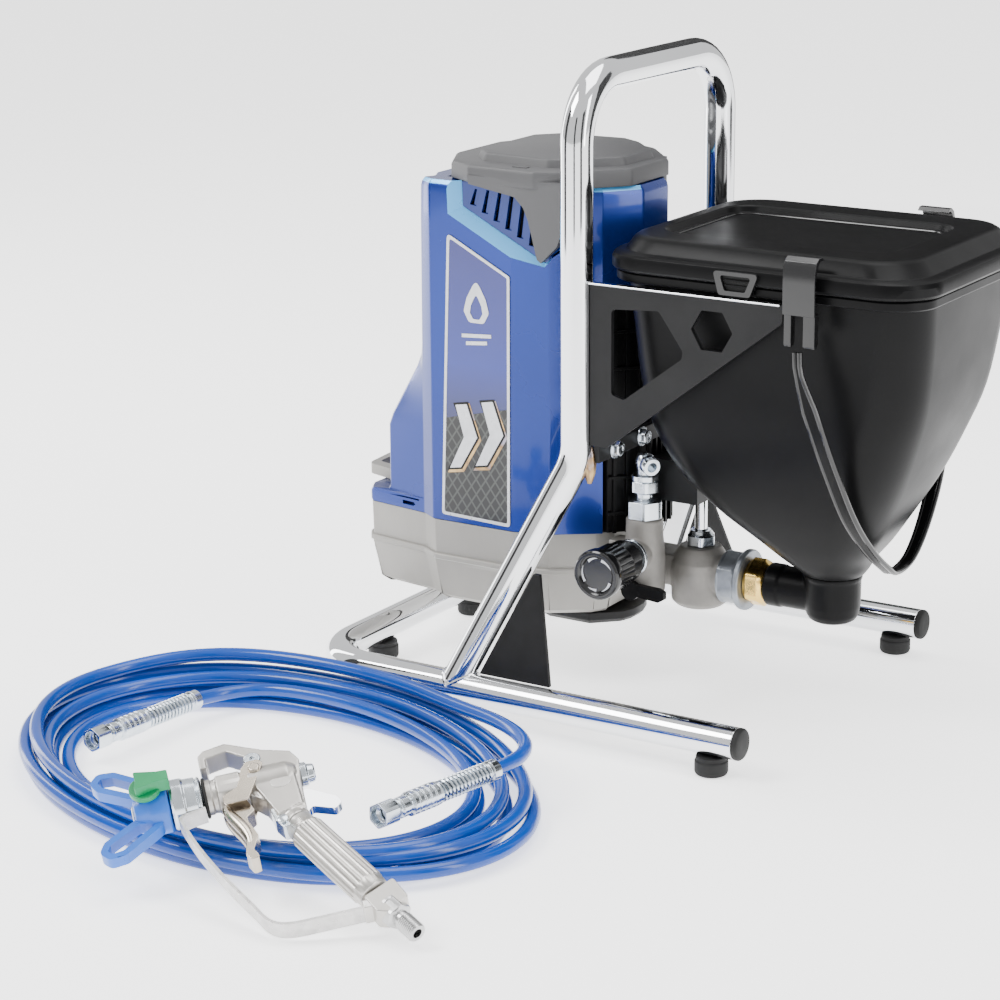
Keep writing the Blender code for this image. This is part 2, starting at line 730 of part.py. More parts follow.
def latches():
    """Clips on the rim that carry the bail."""
    y = BAIL_PIVOT[1]
    profile = [(-6, 385), (-4, 389), (0, 388), (4, 378), (4, 328), (-1, 328), (-1, 366), (-6, 370)]
    for name, side in SIDES:
        def place(u, v, w, side=side):
            return Vector((203 + w, side * (y + u), v))
        plate("latch_" + name, profile, 26, place, black_plastic())


def bail():
    x, y, z = BAIL_PIVOT
    """Carrying bail, hanging from the latches round the bottom of the bowl."""
    near = [(x, -y, z), (x + 2, -y, 306), (228, -117, 266), (234, -102, 230), (240, -80, 189)]
    near += [(244, -52, 158), (246, -26, 138), (245, -10, 130)]
    far = [(px, -py, pz) for px, py, pz in reversed(near)]
    sweep("bail", near + far, 3, black_plastic(), 8, pivot=(x, 0, z))


# ---------------------------------------------------------------- hose

def hose_coil():
    """The coil's outer shape: a ring with rounded edges, wider in front and higher by the stand."""
    low = 0.4
    width = COIL_WIDTH
    profile = [(low, 4 - width), (low, -4), (low + 4, 0), (16, 0), (COIL_TOP, -9)]
    profile += [(COIL_TOP, 9 - width), (16, -width), (low + 4, -width)]
    short_axis = Vector((math.cos(COIL_TURN), math.sin(COIL_TURN), 0))
    long_axis = Vector((-short_axis.y, short_axis.x, 0))
    rings = []
    steps = 44
    for z, grow in profile:
        ring = []
        for k in range(steps):
            angle = 2 * math.pi * k / steps
            inward = -grow / width
            across = (COIL_SHORT + (COIL_INNER_SHORT - COIL_SHORT) * inward) * math.cos(angle)
            along = (COIL_LONG + (COIL_INNER_LONG - COIL_LONG) * inward) * math.sin(angle)
            centre = COIL_CENTRE + COIL_SHIFT * inward
            point = centre + across * short_axis + along * long_axis
            rise = min(1.0, max(0.0, (point.y + COIL_RISE_Y) / 60.0))
            point.z = z * (1 + COIL_RISE * rise)
            ring.append(point)
        rings.append(ring)
    skin("hose_coil", rings, hose_blue(), loop=True)


FITTING_A = (Vector((-244.0, -396.0, 20.0)), Vector((-236.0, -276.0, 18.0)))
FITTING_B = (Vector((64.0, -456.0, 43.8)), Vector((86.0, -338.0, 43.8)))
TUBE_A = [(-235.9, -275.0, 18.0), (-234.5, -264.0, 17.0), (-231.5, -256.0, 16.0)]
TUBE_B = [(86.2, -337.0, 43.8), (88.0, -322.0, 42.5), (87.0, -304.0, 40.7), (83.0, -286.0, 39.6)]


def smooth_path(points, spacing):
    """Points along a smooth curve through the route's own points."""
    route = [Vector(p) for p in points]
    route = [2 * route[0] - route[1]] + route + [2 * route[-1] - route[-2]]
    path = []
    for p0, p1, p2, p3 in zip(route, route[1:], route[2:], route[3:]):
        steps = max(2, round((p2 - p1).length / spacing))
        for k in range(steps):
            t = k / steps
            path.append(0.5 * (2 * p1 + (p2 - p0) * t + (2 * p0 - 5 * p1 + 4 * p2 - p3) * t ** 2
                               + (3 * p1 - p0 - 3 * p2 + p3) * t ** 3))
    path.append(route[-2])
    return path


def hose_tube(name, points):
    curve = bpy.data.curves.new(name, "CURVE")
    curve.dimensions = "3D"
    curve.bevel_depth = HOSE_R * MM
    curve.bevel_resolution = 3
    curve.resolution_u = 1
    curve.render_resolution_u = 0
    curve.use_fill_caps = True
    path = smooth_path(points, 14.0)
    line = curve.splines.new("POLY")
    line.points.add(len(path) - 1)
    for spot, point in zip(line.points, path):
        spot.co = (*((point - ORIGIN) * MM), 1.0)
    curve.materials.append(hose_blue())
    made = bpy.data.objects.new(name, curve)
    bpy.context.scene.collection.objects.link(made)


def hose_fitting(letter, ends):
    """Crimped ferrule with its spring guard, and the swivel nut in front of it."""
    nut_end, spring_end = ends
    along = (spring_end - nut_end).normalized()
    length = (spring_end - nut_end).length
    nut = [(0, 17, "hex"), (15, 17, "hex"), (17, 7), (17, 4.2), (0, 5.5)]
    turned("hose_nut_" + letter, nut_end, along, nut, zinc(), loop=True, sides=24, pivot=nut_end)
    ferrule = [(17.4, 6), (24, 6), (25, 9), (58, 8.6), (59, 7.5), (length - 6, 7.5), (length - 6, 8)]
    ferrule += [(length - 0.6, 8)]
    turned("hose_fitting_" + letter, nut_end, along, ferrule, zinc(), sides=16)


# ---------------------------------------------------------------- gun

GUN_UP = GUN_FORWARD.cross(GUN_DOWN).normalized()


def gun(u, v, w=0.0):
    """A point of the gun: u along the barrel to the tip, v towards the grip, w out of its side."""
    return GUN_ORIGIN + u * GUN_FORWARD + v * GUN_DOWN + w * GUN_UP


def gun_plate(name, outline, half, material, holes=(), pivot=(0, 0)):
    place = lambda u, v, w: gun(u, v, w - half)
    origin = gun(*pivot)
    return plate(name, outline, 2 * half, place, material, holes, pivot=origin)


def gun_body():
    """Cast body with its hook and tail, between the front housing and the grip."""
    hook = [(45, -20), (40, -20), (40, -30), (25, -33), (6, -18), (14, -16), (14, 13), (2, 26)]
    tail = [(-2, 46), (-22, 38), (-26, 32), (-42, 40), (-47, 34), (-44, 27), (-22, 12)]
    top = [(-24, -10), (-19, -20), (0, -27), (25, -41), (41, -38), (45, -34)]
    gun_plate("gun_body", hook + tail + top, 9, cast_alloy())


def gun_front():
    start = gun(14.4, 0)
    profile = [(0, 13.5), (4, 13.5), (5, 27, "hex"), (22, 27, "hex"), (23, 12), (31, 12), (31, 4), (0, 4)]
    turned("gun_front", start, GUN_FORWARD, profile, cast_alloy(), loop=True, sides=24)


GRIP_TOP = (-14.0, 43.5)
GRIP_END = (-53.0, 122.0)


def gun_grip():
    """Fluted grip with the square block at its foot."""
    start = gun(*GRIP_TOP)
    axis = gun(*GRIP_END) - start
    length = axis.length
    profile = [(0, 10), (5, 12), (length - 6, 12.5), (length, 10.5), (length + 14, 10.5)]
    made = turned("gun_grip", start, axis, profile, cast_alloy(), sides=20)
    trim = gun_plate("grip_trim", [(40, 20), (14, 14), (2, 26.5), (-2, 46.4), (-22, 38.4), (-60, 30)], 20, steel())
    boolean(made, "DIFFERENCE", [trim])


def gun_inlet():
    start = gun(*GRIP_END)
    axis = (start - gun(*GRIP_TOP)).normalized()
    profile = [(14.4, 9), (16, 18, "hex"), (27, 18, "hex"), (28, 6), (34, 6), (34, 7), (47, 7)]
    profile += [(47, 3.5), (14.4, 3.5)]
    turned("gun_inlet", start, axis, profile, steel(), loop=True, sides=24)


def trigger_guard():
    """Bent strip from the front housing round to the grip's foot."""
    centre = [(63.5, 20), (56, 49), (43, 81), (27, 114), (20, 128), (12, 135), (0, 137), (-44, 137)]
    half = 1.2
    one = []
    other = []
    for i, point in enumerate(centre):
        a = Vector(centre[max(i - 1, 0)])
        b = Vector(centre[min(i + 1, len(centre) - 1)])
        run = (b - a).normalized()
        normal = Vector((-run.y, run.x)) * half
        one.append(tuple(Vector(point) + normal))
        other.append(tuple(Vector(point) - normal))
    gun_plate("trigger_guard", one + other[::-1], 6.5, steel())


def gun_trigger():
    shape = [(17, 17), (33, 17.5), (34, 22), (22, 50), (25, 66), (22, 73), (16, 72)]
    shape += [(17, 68), (19, 64), (14, 52), (20, 34), (13, 28)]
    gun_plate("gun_trigger", shape, 8, chrome(), pivot=TRIGGER_PIVOT)


def guard_nut():
    start = gun(46.2, 0)
    profile = [(0, 12.5), (4, 16.5), (12, 16.5), (14, 18), (21, 18), (23, 16), (23, 12.6), (0, 12.6)]
    turned("guard_nut", start, GUN_FORWARD, profile[1:], zinc(), loop=True, sides=24)


def tip_guard():
    """Two looped wings on a collar, with a bore across it for the spray tip."""
    start = gun(69.6, 0)
    profile = [(0, 18), (14, 18), (24, 14), (24, 5), (0, 5)]
    made = turned("tip_guard", start, GUN_FORWARD, profile, guard_blue(), loop=True)
    tools = []
    for name, side in SIDES:
        outer = [(76, side * 12), (94, side * 10), (118, side * 26), (122, side * 34), (116, side * 42)]
        outer += [(104, side * 40), (76, side * 20)]
        window = [(96, side * 17), (113, side * 29), (115, side * 33), (112, side * 36), (104, side * 34)]
        window += [(92, side * 24)]
        tools.append(gun_plate("wing_" + name, outer, 11, steel(), [window]))
    boolean(made, "UNION", tools)
    bore = bar("tip_bore", gun(TIP_U, 0, -30), gun(TIP_U, 0, 30), 6.5)
    boolean(made, "DIFFERENCE", [bore])


def spray_tip():
    """Turning tip with its flag."""
    profile = [(-19, 5), (-18, 6), (19, 6), (19.5, 11), (24, 11)]
    made = turned("spray_tip", gun(TIP_U, 0), GUN_UP, profile, tip_green(), pivot=gun(TIP_U, 0))
    outline = [(TIP_U - 18, -4), (TIP_U + 6, -7), (TIP_U + 6, 7), (TIP_U - 18, 4)]
    flag = plate("tip_flag", outline, 12, lambda u, v, w: gun(u, v, 20 + w), steel())
    boolean(made, "UNION", [flag])


# ---------------------------------------------------------------- whole object

def main():
    for old in list(bpy.data.objects):
        bpy.data.objects.remove(old, do_unlink=True)
    stand = (base_tube, handle_tube, leg_caps, feet, gussets, hopper_brackets, mount_bar, base_plate)
    drive = (drive_housing, shroud, top_cap, vent_grille, rear_housing, motor, cooling_fan)
    drive += (drive_gear, crankshaft, crank_housing, switch_and_gland)
    pump = (outlet_manifold, outlet_fitting, outlet_swivel, pressure_knob, prime_lever)
    pump += (pump_cylinder, packing_nut, piston_rod, inlet_fittings)
    bowl = (hopper_elbow, hopper, strainer, lid, latches, bail)
    spray_gun = (gun_body, gun_front, gun_grip, gun_inlet, trigger_guard, gun_trigger, guard_nut)
    spray_gun += (tip_guard, spray_tip)
    for build in stand + drive + pump + bowl + spray_gun:
        build()
    hose_coil()
    hose_tube("hose_tube_a", TUBE_A)
    hose_tube("hose_tube_b", TUBE_B)
    hose_fitting("a", FITTING_A)
    hose_fitting("b", FITTING_B)


main()
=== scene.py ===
"""The looks of an airless paint sprayer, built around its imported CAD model.

Lengths are in millimetres in the CAD script's own frame, and at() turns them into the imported
model's metres. X runs along the stand's legs to their open ends, Y away from the gun, Z up.
"""
import math

import bmesh
import bpy
from mathutils import Matrix, Vector
from mathutils.geometry import tessellate_polygon


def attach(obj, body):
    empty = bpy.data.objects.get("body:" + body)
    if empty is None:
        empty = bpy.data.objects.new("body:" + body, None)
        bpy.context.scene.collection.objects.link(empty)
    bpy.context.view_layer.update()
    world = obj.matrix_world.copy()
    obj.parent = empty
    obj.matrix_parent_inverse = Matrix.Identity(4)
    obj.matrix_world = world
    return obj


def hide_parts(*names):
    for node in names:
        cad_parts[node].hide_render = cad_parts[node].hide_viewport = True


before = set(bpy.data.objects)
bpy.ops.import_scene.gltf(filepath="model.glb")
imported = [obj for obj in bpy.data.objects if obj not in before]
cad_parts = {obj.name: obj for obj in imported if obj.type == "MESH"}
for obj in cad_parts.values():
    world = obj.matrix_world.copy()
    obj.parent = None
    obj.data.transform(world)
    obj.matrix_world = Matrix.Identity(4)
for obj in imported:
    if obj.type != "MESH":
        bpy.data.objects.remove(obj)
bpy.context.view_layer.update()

MM = 0.001
ORIGIN = Vector((44.0, -206.6, 0.0))
GAP = 0.3
FINISHED = "_finished"
NO_SLOT = "none"
SIDES = (("near", -1), ("far", 1))


def at(point):
    """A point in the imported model's frame, in metres."""
    return (Vector(point) - ORIGIN) * MM


# ---------------------------------------------------------------- materials

class Look:
    """A Principled material whose colour, roughness and bump come from nodes."""

    def __init__(self, name, rgb, rough, metal=0.0, coat=0.0, shine=0.5):
        self.made = bpy.data.materials.new(name)
        self.made.use_nodes = True
        self.tree = self.made.node_tree
        self.shader = self.tree.nodes["Principled BSDF"]
        self.rgb = rgb
        self.shader.inputs["Base Color"].default_value = (*rgb, 1.0)
        self.shader.inputs["Roughness"].default_value = rough
        self.shader.inputs["Metallic"].default_value = metal
        self.shader.inputs["Coat Weight"].default_value = coat
        self.shader.inputs["Coat Roughness"].default_value = 0.06
        self.shader.inputs["Specular IOR Level"].default_value = shine
        self.place = self.node("ShaderNodeTexCoord")
        self.height = None

    def node(self, kind, **values):
        made = self.tree.nodes.new(kind)
        for key, value in values.items():
            setattr(made, key, value)
        return made

    def link(self, a, b):
        self.tree.links.new(a, b)

    def stretched(self, scale):
        """Object coordinates, drawn out along the axes with the smaller numbers."""
        mapping = self.node("ShaderNodeMapping")
        mapping.inputs["Scale"].default_value = scale
        self.link(self.place.outputs["Object"], mapping.inputs["Vector"])
        return mapping.outputs["Vector"]

    def noise(self, scale, detail=4.0, stretch=(1, 1, 1)):
        made = self.node("ShaderNodeTexNoise")
        made.inputs["Scale"].default_value = scale
        made.inputs["Detail"].default_value = detail
        self.link(self.stretched(stretch), made.inputs["Vector"])
        return made.outputs["Fac"]

    def ramp(self, source, stops):
        made = self.node("ShaderNodeValToRGB")
        points = made.color_ramp.elements
        while len(points) < len(stops):
            points.new(0.5)
        for point, (position, colour) in zip(points, stops):
            point.position = position
            point.color = (*colour, 1.0)
        self.link(source, made.inputs["Fac"])
        return made.outputs["Color"]

    def colours(self, source, stops):
        self.link(self.ramp(source, stops), self.shader.inputs["Base Color"])
        return self

    def mottled(self, scale, amount, detail=4.0, stretch=(1, 1, 1)):
        """The base colour, a little darker and lighter from place to place."""
        dark = tuple(c * (1 - amount) for c in self.rgb)
        light = tuple(min(1, c * (1 + amount)) for c in self.rgb)
        return self.colours(self.noise(scale, detail, stretch), [(0.3, dark), (0.7, light)])

    def roughness(self, scale, low, high, stretch=(1, 1, 1)):
        made = self.node("ShaderNodeMapRange")
        made.inputs["From Min"].default_value = 0.3
        made.inputs["From Max"].default_value = 0.7
        made.inputs["To Min"].default_value = low
        made.inputs["To Max"].default_value = high
        self.link(self.noise(scale, 5.0, stretch), made.inputs["Value"])
        self.link(made.outputs["Result"], self.shader.inputs["Roughness"])
        return self

    def bumped(self, source, depth):
        """A bump of that depth in millimetres, on top of any that is there."""
        bump = self.node("ShaderNodeBump")
        bump.inputs["Strength"].default_value = 1.0
        bump.inputs["Distance"].default_value = depth * MM
        self.link(source, bump.inputs["Height"])
        if self.height:
            self.link(self.height, bump.inputs["Normal"])
        self.height = bump.outputs["Normal"]
        self.link(self.height, self.shader.inputs["Normal"])
        return self

    def grain(self, scale, depth, detail=3.0, stretch=(1, 1, 1)):
        return self.bumped(self.noise(scale, detail, stretch), depth)

    def worn(self, rgb):
        """Bright edges where the surface is rubbed."""
        edge = self.node("ShaderNodeNewGeometry")
        mix = self.node("ShaderNodeMix", data_type="RGBA")
        facing = self.node("ShaderNodeMapRange")
        facing.inputs["From Min"].default_value = 0.53
        facing.inputs["From Max"].default_value = 0.62
        self.link(edge.outputs["Pointiness"], facing.inputs["Value"])
        self.link(facing.outputs["Result"], mix.inputs["Factor"])
        source = self.shader.inputs["Base Color"]
        if source.is_linked:
            self.link(source.links[0].from_socket, mix.inputs["A"])
        else:
            mix.inputs["A"].default_value = (*self.rgb, 1.0)
        mix.inputs["B"].default_value = (*rgb, 1.0)
        self.link(mix.outputs["Result"], source)
        return self


def tinted_weld():
    look = Look("heat_tinted_weld", (0.45, 0.32, 0.16), 0.3, 1.0)
    stops = [(0.30, (0.60, 0.42, 0.20)), (0.48, (0.30, 0.19, 0.10)), (0.62, (0.30, 0.28, 0.33))]
    look.colours(look.noise(70, 2.0), stops)
    return look.roughness(60, 0.2, 0.4).grain(240, 0.3)


def label_blue():
    look = Look("label_blue", (0.012, 0.04, 0.46), 0.24, coat=0.4)
    split = look.node("ShaderNodeSeparateXYZ")
    look.link(look.place.outputs["Object"], split.inputs["Vector"])
    stops = [(0.0, (0.010, 0.012, 0.07)), (0.35, (0.003, 0.022, 0.26)),
             (1.0, (0.006, 0.010, 0.15))]
    rise = look.node("ShaderNodeMapRange")
    rise.inputs["From Min"].default_value = 0.215
    rise.inputs["From Max"].default_value = 0.37
    look.link(split.outputs["Z"], rise.inputs["Value"])
    return look.colours(rise.outputs["Result"], stops).roughness(40, 0.18, 0.26)


def label_mesh():
    """Black label field under a net of grey diamonds."""
    look = Look("label_mesh", (0.01, 0.01, 0.01), 0.35, coat=0.2)
    nets = []
    for turn in (0.62, -0.62):
        mapping = look.node("ShaderNodeMapping")
        mapping.inputs["Rotation"].default_value = (0, turn, 0)
        look.link(look.place.outputs["Object"], mapping.inputs["Vector"])
        wave = look.node("ShaderNodeTexWave", bands_direction="X")
        wave.inputs["Scale"].default_value = 42.0
        wave.inputs["Distortion"].default_value = 0.0
        look.link(mapping.outputs["Vector"], wave.inputs["Vector"])
        nets.append(wave.outputs["Fac"])
    both = look.node("ShaderNodeMath", operation="MAXIMUM")
    look.link(nets[0], both.inputs[0])
    look.link(nets[1], both.inputs[1])
    stops = [(0.84, (0.004, 0.004, 0.004)), (0.98, (0.05, 0.055, 0.05))]
    return look.colours(both.outputs["Value"], stops).grain(600, 0.02)


def floor_paint():
    look = Look("pale_floor", (0.95, 0.95, 0.95), 0.6, shine=0.3)
    look.shader.inputs["Emission Color"].default_value = (1.0, 1.0, 1.0, 1.0)
    look.shader.inputs["Emission Strength"].default_value = 1.5
    return look.mottled(0.6, 0.01)


FINISHES = {
    "chrome": lambda: Look("chrome", (0.80, 0.81, 0.83), 0.05, 1.0)
        .mottled(9, 0.04).roughness(40, 0.03, 0.09, (1, 1, 0.3)),
    "powder_coat": lambda: Look("black_powder_coat", (0.006, 0.006, 0.0065), 0.5, shine=0.25)
        .mottled(60, 0.3).roughness(30, 0.38, 0.55).grain(1400, 0.05),
    "black_moulding": lambda: Look("black_moulding", (0.003, 0.003, 0.0033), 0.4, shine=0.11)
        .mottled(12, 0.25).roughness(14, 0.30, 0.42).grain(900, 0.02),
    "glossy_moulding": lambda:
        Look("glossy_black_moulding", (0.006, 0.006, 0.0065), 0.16, shine=0.55)
        .mottled(14, 0.2).roughness(25, 0.12, 0.24).grain(300, 0.015),
    "rubber": lambda: Look("black_rubber", (0.012, 0.012, 0.012), 0.75, shine=0.3)
        .mottled(40, 0.3).roughness(30, 0.6, 0.85).grain(700, 0.06),
    "blue_paint": lambda: Look("metallic_blue", (0.0015, 0.024, 0.21), 0.3, 0.6, 0.35)
        .mottled(5, 0.10, 2.0).roughness(8, 0.22, 0.30).grain(2600, 0.006),
    # painted highlight for the notch chamfers: a lit copy of the metallic blue
    "painted_highlight_blue": lambda: Look("metallic_blue_painted_highlight", (0.10, 0.42, 0.80), 0.3, 0.35, 0.4)
        .mottled(9, 0.12, 2.0).roughness(10, 0.24, 0.34),
    "grille_blue": lambda: Look("grille_blue", (0.003, 0.022, 0.16), 0.3, 0.3, 0.3)
        .mottled(30, 0.15).roughness(20, 0.25, 0.4),
    "grey_moulding": lambda: Look("grey_moulding", (0.07, 0.07, 0.073), 0.5)
        .mottled(6, 0.05).roughness(10, 0.42, 0.52).grain(1100, 0.06),
    "cast_housing": lambda: Look("cast_housing", (0.30, 0.29, 0.27), 0.5, 0.35)
        .mottled(16, 0.10, 8.0, (1, 1, 0.25)).roughness(25, 0.42, 0.62).grain(700, 0.10, 6.0)
        .grain(60, 0.25).worn((0.50, 0.49, 0.47)),
    "cast_pump": lambda: Look("cast_pump", (0.23, 0.22, 0.205), 0.5, 0.45)
        .mottled(45, 0.16, 8.0).roughness(30, 0.42, 0.6).grain(520, 0.16, 6.0)
        .worn((0.38, 0.37, 0.35)),
    "gun_alloy": lambda: Look("gun_alloy", (0.52, 0.50, 0.47), 0.3, 0.85)
        .mottled(50, 0.08, 6.0).roughness(40, 0.26, 0.42).grain(800, 0.05, 5.0)
        .worn((0.86, 0.85, 0.83)),
    "nickel": lambda: Look("trigger_nickel", (0.56, 0.50, 0.42), 0.2, 1.0)
        .mottled(25, 0.15).roughness(35, 0.14, 0.28).grain(120, 0.04),
    "brushed": lambda: Look("brushed_strip", (0.62, 0.61, 0.60), 0.32, 1.0)
        .mottled(140, 0.12).roughness(200, 0.24, 0.42).grain(1500, 0.03),
    "zinc": lambda: Look("zinc_plate", (0.66, 0.71, 0.76), 0.2, 1.0)
        .mottled(60, 0.14).roughness(60, 0.13, 0.30).grain(260, 0.04),
    "dull_zinc": lambda: Look("dull_zinc_plate", (0.26, 0.28, 0.31), 0.36, 0.8)
        .mottled(70, 0.22).roughness(50, 0.28, 0.48).grain(300, 0.08),
    "brass": lambda: Look("brass", (0.83, 0.56, 0.16), 0.18, 1.0)
        .mottled(50, 0.15).roughness(50, 0.12, 0.28).grain(200, 0.04),
    "steel": lambda: Look("plain_steel", (0.50, 0.50, 0.50), 0.3, 1.0)
        .mottled(60, 0.15).roughness(50, 0.22, 0.42).grain(300, 0.04),
    "hose_cover": lambda: Look("hose_cover", (0.0, 0.052, 0.33), 0.16, shine=0.5)
        .mottled(7, 0.18, 2.0).roughness(18, 0.12, 0.22).grain(500, 0.02),
    "guard_moulding": lambda: Look("guard_moulding", (0.008, 0.12, 0.55), 0.32, coat=0.2)
        .mottled(25, 0.16).roughness(30, 0.24, 0.40).grain(400, 0.03),
    "green_moulding": lambda: Look("green_moulding", (0.0, 0.24, 0.08), 0.34)
        .mottled(30, 0.14).roughness(30, 0.28, 0.42).grain(500, 0.03),
    # near-black: painted shade inside the vent and behind the lid catches, and the black print
    # round the label's chevrons
    "shade_and_print_black": lambda: Look("painted_shade_and_print_black", (0.004, 0.004, 0.004), 0.7)
        .mottled(40, 0.3),
    "label_silver": lambda: Look("label_silver", (0.55, 0.56, 0.58), 0.3, 0.7)
        .mottled(200, 0.06).roughness(60, 0.24, 0.36),
    "tinted_weld": tinted_weld,
    "label_blue": label_blue,
    "label_mesh": label_mesh,
    "floor_paint": floor_paint,
}
# the CAD slot that goes with each finish
SLOTS = {
    "chrome": "chrome", "powder_coat": "black_steel", "black_moulding": "black_plastic",
    "glossy_moulding": "black_plastic", "rubber": "rubber", "blue_paint": "blue_plastic",
    "grille_blue": "blue_plastic", "grey_moulding": "grey_plastic", "cast_housing": "cast_alloy",
    "cast_pump": "cast_alloy", "gun_alloy": "cast_alloy", "nickel": "chrome", "brushed": "steel",
    "zinc": "zinc_plate", "dull_zinc": "zinc_plate", "brass": "brass", "steel": "steel",
    "tinted_weld": "chrome", "hose_cover": "hose_blue", "guard_moulding": "guard_blue",
    "green_moulding": "tip_green", "shade_and_print_black": "black_plastic", "label_silver": "zinc_plate",
    "label_blue": "blue_plastic", "label_mesh": "black_plastic",
}
LOOKS = {}


def look(finish):
    """Each material, made once."""
    if finish not in LOOKS:
        LOOKS[finish] = FINISHES[finish]().made
    return LOOKS[finish]


# ---------------------------------------------------------------- building

BEVEL_ANGLE = 28
SHARP_ANGLE = 32


def build(name, verts, faces, finish, body="stand", slot=None, stands_for=(), bevel=0.0, steps=2):
    """A piece from points in the CAD frame, in millimetres."""
    mesh = bpy.data.meshes.new(name)
    bm = bmesh.new()
    made = [bm.verts.new(at(v)) for v in verts]
    for face in faces:
        bm.faces.new([made[i] for i in face])
    bmesh.ops.recalc_face_normals(bm, faces=bm.faces)
    bm.to_mesh(mesh)
    bm.free()
    return dress(name, mesh, finish, body, slot, stands_for, bevel, steps)


def dress(name, mesh, finish, body="stand", slot=None, stands_for=(), bevel=0.0, steps=2):
    """Gives a mesh its material, rounded edges and body.

    A piece whose name ends with FINISHED stands for the CAD node that the name starts with.
    """
    mesh.shade_smooth()
    mesh.materials.clear()
    mesh.materials.append(look(finish))
    piece = bpy.data.objects.new(name, mesh)
    bpy.context.scene.collection.objects.link(piece)
    if bevel:
        bevelled(piece, bevel, steps)
    else:
        mesh.set_sharp_from_angle(angle=math.radians(SHARP_ANGLE))
    if body:
        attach(piece, body)
        if slot != NO_SLOT:
            slot or SLOTS[finish]
    if name.endswith(FINISHED):
        stands_for = (name[:-len(FINISHED)],)
    if stands_for:
        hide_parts(*stands_for)
    return piece


def bevelled(piece, width, steps, angle=BEVEL_ANGLE):
    edges = piece.modifiers.new("edges", "BEVEL")
    edges.width = width * MM
    edges.segments = steps
    edges.limit_method = "ANGLE"
    edges.angle_limit = math.radians(angle)
    edges.harden_normals = True
    edges.use_clamp_overlap = True


def loft(name, rings, finish, loop=False, **rest):
    """Walls between rings of equal length, with the ends capped, or joined in a loop."""
    count = len(rings[0])
    verts = [point for ring in rings for point in ring]
    faces = []
    last = len(rings) if loop else len(rings) - 1
    for i in range(last):
        low = i * count
        high = (i + 1) % len(rings) * count
        for k in range(count):
            j = (k + 1) % count
            faces.append((low + k, low + j, high + j, high + k))
    if not loop:
        faces.append(tuple(range(count)))
        faces.append(tuple(range(len(verts) - count, len(verts))))
    return build(name, verts, faces, finish, **rest)


def axes_for(direction):
    along = Vector(direction).normalized()
    guide = Vector((0, 0, 1)) if abs(along.z) < 0.9 else Vector((1, 0, 0))
    side = guide.cross(along).normalized()
    return along, side, along.cross(side)


HEX_CORNER = 0.558   # how far a hexagon's chamfered corners reach, in widths across its flats


def turned(name, start, direction, profile, finish, sides=48, loop=False, flutes=None, **rest):
    """A turned piece. A profile step is (distance, radius), or (distance, across flats, "hex")."""
    along, side, other = axes_for(direction)
    rings = []
    for step in profile:
        centre = Vector(start) + along * step[0]
        ring = []
        for k in range(sides):
            angle = 2 * math.pi * k / sides
            radius = step[1]
            if len(step) == 3 and step[2] == "hex":
                folded = (angle + math.pi / 6) % (math.pi / 3) - math.pi / 6
                radius = min(step[1] / 2 / math.cos(folded), step[1] * HEX_CORNER)
            elif len(step) == 3:
                radius += step[2] * flutes(angle)
            ring.append(centre + radius * (math.cos(angle) * side + math.sin(angle) * other))
        rings.append(ring)
    return loft(name, rings, finish, loop, **rest)


def swept(path, radii, sides):
    """Rings of a round bar along a path of points."""
    points = [Vector(p) for p in path]
    if not isinstance(radii, (list, tuple)):
        radii = [radii] * len(points)
    tangents = []
    for i in range(len(points)):
        run = points[min(i + 1, len(points) - 1)] - points[max(i - 1, 0)]
        tangents.append(run.normalized())
    side = axes_for(tangents[0])[1]
    rings = []
    for point, tangent, radius in zip(points, tangents, radii):
        side = (side - tangent * side.dot(tangent)).normalized()
        other = tangent.cross(side)
        ring = []
        for k in range(sides):
            angle = 2 * math.pi * k / sides
            ring.append(point + radius * (math.cos(angle) * side + math.sin(angle) * other))
        rings.append(ring)
    return rings


def rod(name, path, radius, finish, sides=16, **rest):
    return loft(name, swept(path, radius, sides), finish, **rest)


def rounded(points, radius, steps=12):
    """A path through corner points, each inner corner turned on an arc of that radius."""
    corners = [Vector(p) for p in points]
    path = [corners[0]]
    for before, corner, after in zip(corners, corners[1:], corners[2:]):
        u = (before - corner).normalized()
        v = (after - corner).normalized()
        half = u.angle(v) / 2
        reach = radius / math.tan(half)
        centre = corner + (u + v).normalized() * radius / math.sin(half)
        a = corner + u * reach - centre
        b = corner + v * reach - centre
        for k in range(steps + 1):
            path.append(centre + a.slerp(b, k / steps).normalized() * radius)
    path.append(corners[-1])
    return path


def between(p0, p1, p2, p3, t):
    """The Catmull-Rom curve from p1 to p2, at t from 0 to 1."""
    return 0.5 * (2 * p1 + (p2 - p0) * t + (2 * p0 - 5 * p1 + 4 * p2 - p3) * t ** 2
                  + (3 * p1 - p0 - 3 * p2 + p3) * t ** 3)


def smooth(points, spacing=4.0):
    """Points along a smooth curve through a route's own points."""
    route = [Vector(p) for p in points]
    route = [2 * route[0] - route[1]] + route + [2 * route[-1] - route[-2]]
    path = []
    for p0, p1, p2, p3 in zip(route, route[1:], route[2:], route[3:]):
        steps = max(2, round((p2 - p1).length / spacing))
        path += [between(p0, p1, p2, p3, k / steps) for k in range(steps)]
    path.append(route[-2])
    return path


def filleted(points, radius, steps=5):
    """A closed flat outline with its corners rounded."""
    count = len(points)
    outline = []
    for i, corner in enumerate(points):
        c = Vector(corner)
        before = Vector(points[i - 1]) - c
        after = Vector(points[(i + 1) % count]) - c
        half = before.angle(after) / 2
        reach = min(radius / math.tan(half), before.length * 0.45, after.length * 0.45)
        for k in range(steps + 1):
            t = k / steps
            a = c + before.normalized() * reach
            b = c + after.normalized() * reach
            outline.append((1 - t) ** 2 * a + 2 * t * (1 - t) * c + t ** 2 * b)
    return outline


